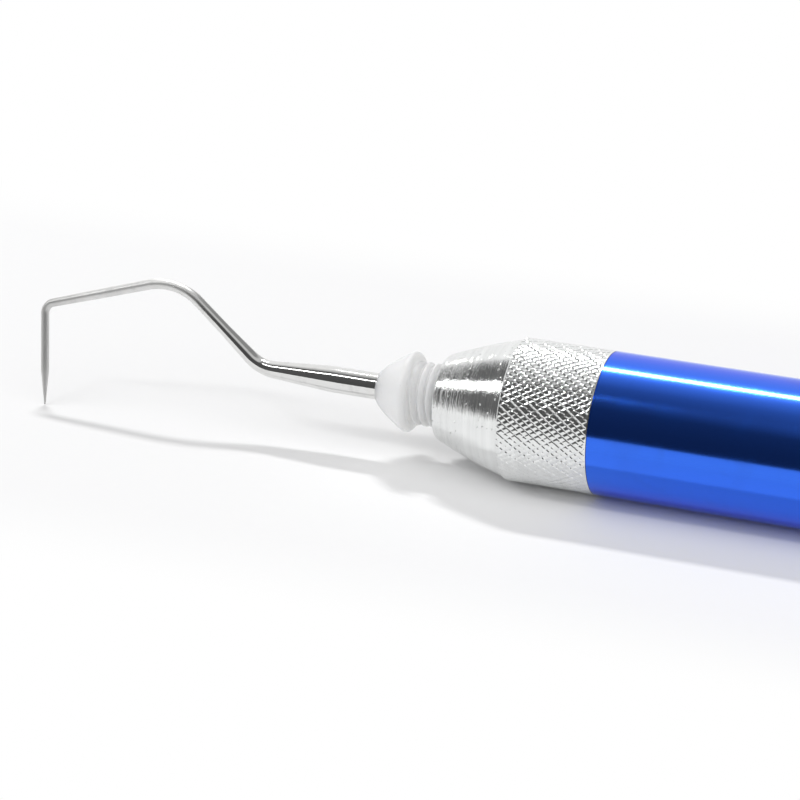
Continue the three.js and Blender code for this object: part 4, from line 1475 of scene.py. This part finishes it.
class WEEDING_TOOL_OT_switch(bpy.types.Operator):
    """Fits the push button, the switch and both springs"""

    bl_idname = "weeding_tool.switch"
    bl_label = "Button and Switch"

    def execute(self, context):
        low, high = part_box("tail_button")
        total = (high.x - low.x) / MM
        outline = [
            (0.0, 0.0),
            (0.0, BUTTON_FLANGE_R, 0.1),
            (BUTTON_FLANGE, BUTTON_FLANGE_R, 0.1),
            (BUTTON_FLANGE, BUTTON_R),
            (BUTTON_FLANGE + 0.1, BUTTON_R),
            (total - CROWN_HEIGHT - 0.05, BUTTON_R),
        ]
        for t in np.linspace(0.0, math.pi / 2, 10)[1:]:
            along = total - CROWN_HEIGHT + CROWN_EDGE_RISE * math.sin(t)
            outline.append((along, BUTTON_R - CROWN_EDGE_IN * (1 - math.cos(t))))
        edge_x, edge_r = outline[-1]
        for share in np.linspace(0.0, 1.0, 10)[1:]:
            outline.append((edge_x + (total - edge_x) * (1 - (1 - share) ** 2), edge_r * (1 - share)))
        piece = lathe("push_button", outline, ROUND_SIDES, low.x)
        seat(smooth(piece, 35.0), "button_plastic", "tail_button")
        finished_copy("switch_plunger", "plunger", "brass", edge=0.06)
        finished_copy("contact_rivet", "rivet", "brass", edge=0.06)
        finished_copy("contact_washer", "washer", "brass", edge=0.06)
        finished_copy("switch_housing", "switch_body", "black_plastic", edge=0.08)
        finished_copy("switch_ring", "switch_clamp_ring", "brass", edge=0.05)
        for node, name, thickness, curls, front_d, rear_d in SPRINGS:
            low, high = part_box(node)
            reach = high.x - low.x - thickness * MM
            points = []
            for share in np.linspace(0.0, 1.0, round(curls * COIL_STEPS) + 1):
                turn = math.tau * curls * share
                radius = (front_d + (rear_d - front_d) * share) / 2 * MM
                place = low.x + thickness * MM / 2 + reach * share
                points.append((place, radius * math.cos(turn), AXIS_Z + radius * math.sin(turn)))
            radii = [thickness * MM / 2] * len(points)
            coil = seat(wire(name, points, radii, COIL_SIDES, "spring_steel"), "spring_steel", node)
            if node == "return_spring":
                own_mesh(coil)
        return {"FINISHED"}


# Stage

FLOOR_HALF = 3.0  # half of the floor's side
# Where the floor starts to fade and where it is all white: places in front of the tool's axis
# and behind it, and distances from the tool's middle
FADE_FRONT = (-18.0 * MM, -32.0 * MM)
FADE_BEHIND = (36.0 * MM, 50.0 * MM)
FADE_AROUND = (0.1, 0.2)
# The lamps, each with its direction from the nose, its distance and its two sides
KEY_LAMP = ("key_light", (-0.235, 0.56, 1.0), 1.6, (0.42, 0.1))
FILL_LAMP = ("fill_light", (-1.0, -0.47, 1.0), 1.2, (1.1, 0.12))
SENSOR_WIDTH = 36.0  # in millimetres, like the lens
CLIP_FROM, CLIP_TO = 0.01, 20.0
WHITE = (1.0, 1.0, 1.0, 1.0)


def empty_graph(owner):
    """Clears the nodes of a material or a world. Also gives which rays come from the camera, and
    which were mirrored or refracted."""
    owner.use_nodes = True
    owner.node_tree.nodes.clear()
    graph = Graph(owner.node_tree)
    rays = graph.add("ShaderNodeLightPath").outputs
    mirrored = graph.math("MAXIMUM", rays["Is Glossy Ray"], rays["Is Transmission Ray"])
    return graph, rays["Is Camera Ray"], mirrored


def floor_material(base):
    """Paper that shadows fall on, and that fades to white where the camera and mirrors see it."""
    material = bpy.data.materials.new("floor_paper")
    graph, camera, mirrored = empty_graph(material)
    place, split = graph.place()
    texture = graph.span(graph.noise(place, 900.0, 3.0), 0.0, 1.0, 0.995, 1.005)
    tint = graph.add("ShaderNodeVectorMath", operation="SCALE")
    tint.inputs[0].default_value = base
    graph.feed(tint.inputs["Scale"], texture)
    lit = graph.add("ShaderNodeBsdfDiffuse", {"Color": tint.outputs[0]})
    white = graph.add("ShaderNodeEmission", {"Color": WHITE, "Strength": 1.0})
    away = graph.add("ShaderNodeVectorMath", {0: place}, operation="LENGTH").outputs["Value"]
    front = graph.span(split[1], *FADE_FRONT, smooth=True)
    edges = graph.math("MAXIMUM", front, graph.span(split[1], *FADE_BEHIND, smooth=True))
    apart = graph.math("MAXIMUM", edges, graph.span(away, *FADE_AROUND, smooth=True))
    far = graph.math("MULTIPLY", graph.math("MAXIMUM", camera, mirrored), apart)
    mixed = graph.add("ShaderNodeMixShader", {0: far, 1: lit.outputs[0], 2: white.outputs[0]})
    graph.add("ShaderNodeOutputMaterial", {"Surface": mixed.outputs[0]})
    return material


def facing(place, right, up, back):
    """The matrix of a camera or lamp at a place, that looks away from its back."""
    return Matrix.Translation(place) @ Matrix((right, up, back)).transposed().to_4x4()


def add_lamp(name, direction, distance, size, power, target):
    """A flat lamp that faces the target, with its long side along the tool."""
    data = bpy.data.lights.new(name, "AREA")
    data.shape = "RECTANGLE"
    data.size, data.size_y = size
    data.energy = power
    lamp = new_object(name, data)
    back = Vector(direction).normalized()
    along = (Vector((1, 0, 0)) - back * back.x).normalized()
    lamp.matrix_world = facing(target + back * distance, along, back.cross(along), back)
    return lamp


# What a mirror sees of the room, by the angle over the tool in degrees: 0 is level in front of
# it, 90 straight up and 180 level behind it
ROOM_STOPS = ((23, 0.07), (47, 0.085), (59, 0.157), (72, 0.22), (85, 0.34), (99, 0.635), (115, 1.0))
RIGHT_LEVEL, BEHIND_RIGHT_LEVEL = 0.65, 0.3


def mirrored_room(graph, split):
    """The room's level for mirrored and refracted rays, fitted to the photograph's reflections.

    It climbs from dark in front to white behind. Three parts differ: all but the left side has
    one pale level from high in front onwards, a greyer one takes over behind on the right, and
    the left side is dark up to a height that rises towards the hook's end.
    """
    climb = graph.math("ARCTAN2", split[2], graph.math("MULTIPLY", split[1], -1.0))
    over = graph.math("MULTIPLY", climb, 180 / math.pi)
    ramp = graph.add("ShaderNodeValToRGB")
    graph.feed(ramp.inputs[0], graph.math("DIVIDE", over, 180.0))
    elements = ramp.color_ramp.elements
    for degrees, _ in ROOM_STOPS[2:]:
        elements.new(degrees / 180)
    for element, (degrees, level) in zip(elements, ROOM_STOPS):
        element.position = degrees / 180
        element.color = (level, level, level, 1.0)

    all_but_left = graph.span(split[0], -0.2, -0.1, smooth=True)
    pale = graph.math("MULTIPLY", all_but_left, graph.span(over, 42.0, 62.0, smooth=True))
    steep = graph.math("MULTIPLY", graph.span(split[2], 0.2, 0.4), graph.span(over, 76.0, 90.0))
    grey = graph.math("MULTIPLY", graph.span(split[0], 0.05, 0.2, smooth=True), steep)
    height = graph.span(split[0], -0.66, -0.46, 122.0, 76.0)
    below = graph.span(over, height, graph.math("ADD", height, 18.0), 1.0, 0.0, smooth=True)
    left = graph.span(split[0], -0.40, -0.24, 1.0, 0.0, smooth=True)
    dusk = graph.span(split[0], -0.70, -0.45, 0.14, 0.085)
    level = graph.mix("FLOAT", pale, ramp.outputs[0], RIGHT_LEVEL)
    level = graph.mix("FLOAT", grey, level, BEHIND_RIGHT_LEVEL)
    return graph.mix("FLOAT", graph.math("MULTIPLY", below, left), level, dusk)


def even_room(graph, split):
    """The level for all other rays but the camera's: bright in front, dim behind and low down."""
    aloft = graph.span(split[1], -0.3, 0.4, 1.17, 0.12, smooth=True)
    return graph.math("MULTIPLY", aloft, graph.span(split[2], 0.1, 0.65, 0.25, 1.0, smooth=True))


def studio_world(ambient):
    """A white background for the camera, and a room round the table for everything else."""
    world = bpy.data.worlds.new("studio")
    bpy.context.scene.world = world
    graph, camera, mirrored = empty_graph(world)
    direction = graph.add("ShaderNodeTexCoord").outputs["Generated"]
    split = graph.add("ShaderNodeSeparateXYZ", {0: direction}).outputs
    level = graph.mix("FLOAT", mirrored, even_room(graph, split), mirrored_room(graph, split))
    strength = graph.math("MULTIPLY", level, ambient)
    room = graph.add("ShaderNodeBackground", {"Color": WHITE, "Strength": strength})
    white = graph.add("ShaderNodeBackground", {"Color": WHITE, "Strength": 1.0})
    mixed = graph.add("ShaderNodeMixShader", {0: camera, 1: room.outputs[0], 2: white.outputs[0]})
    graph.add("ShaderNodeOutputWorld", {"Surface": mixed.outputs[0]})


class WEEDING_TOOL_OT_stage(bpy.types.Operator):
    """Sets the camera, the floor and the light"""

    bl_idname = "weeding_tool.stage"
    bl_label = "Stage"

    def execute(self, context):
        stage = settings().stage
        nose = Vector((FACE_X, 0.0, AXIS_Z))
        azimuth, elevation = stage.azimuth, stage.elevation
        back = Vector(
            (
                math.sin(azimuth) * math.cos(elevation),
                -math.cos(azimuth) * math.cos(elevation),
                math.sin(elevation),
            )
        )
        right = Vector((0, 0, 1)).cross(back).normalized()
        up = back.cross(right)
        turned_right = math.cos(stage.twist) * right + math.sin(stage.twist) * up
        turned_up = math.cos(stage.twist) * up - math.sin(stage.twist) * right
        data = bpy.data.cameras.new("camera")
        data.lens, data.sensor_width = stage.lens, SENSOR_WIDTH
        data.clip_start, data.clip_end = CLIP_FROM, CLIP_TO
        camera = new_object("camera", data)
        place = nose + Vector(stage.aim) + back * stage.distance
        camera.matrix_world = facing(place, turned_right, turned_up, back)
        context.scene.camera = camera

        corners = [(-1, -1), (1, -1), (1, 1), (-1, 1)]
        mesh = bpy.data.meshes.new("floor")
        mesh.from_pydata([(FLOOR_HALF * x, FLOOR_HALF * y, 0) for x, y in corners], [], [(0, 1, 2, 3)])
        floor = new_object("floor", mesh)
        floor.data.materials.append(floor_material(stage.floor))

        add_lamp(*KEY_LAMP, stage.key_power, nose)
        add_lamp(*FILL_LAMP, stage.fill_power, nose)
        studio_world(stage.ambient)
        context.scene.view_settings.view_transform = "Standard"
        return {"FINISHED"}


class WEEDING_TOOL_PT_panel(bpy.types.Panel):
    """Lists the steps that build the tool, and their settings"""

    bl_idname = "WEEDING_TOOL_PT_panel"
    bl_label = "Weeding Tool"
    bl_space_type = "VIEW_3D"
    bl_region_type = "UI"
    bl_category = "Weeding Tool"

    def draw(self, context):
        layout = self.layout
        tool = context.scene.weeding_tool
        for operator in OPERATORS:
            layout.operator(operator.bl_idname)
        for group in (tool.hook, tool.head, tool.collar, tool.finish, tool.stage):
            box = layout.box()
            for name in group.__annotations__:
                box.prop(group, name)


OPERATORS = (
    WEEDING_TOOL_OT_stage,
    WEEDING_TOOL_OT_hook,
    WEEDING_TOOL_OT_head,
    WEEDING_TOOL_OT_collar,
    WEEDING_TOOL_OT_lamp,
    WEEDING_TOOL_OT_barrel,
    WEEDING_TOOL_OT_cells,
    WEEDING_TOOL_OT_cap,
    WEEDING_TOOL_OT_switch,
)
CLASSES = (
    HookSettings,
    HeadSettings,
    CollarSettings,
    FinishSettings,
    StageSettings,
    ToolSettings,
    *OPERATORS,
    WEEDING_TOOL_PT_panel,
)


def register():
    for item in CLASSES:
        bpy.utils.register_class(item)
    bpy.types.Scene.weeding_tool = PointerProperty(type=ToolSettings)


def unregister():
    del bpy.types.Scene.weeding_tool
    for item in reversed(CLASSES):
        bpy.utils.unregister_class(item)


def main():
    register()
    for operator in OPERATORS:
        group, name = operator.bl_idname.split(".")
        getattr(getattr(bpy.ops, group), name)()


if __name__ == "__main__":
    main()
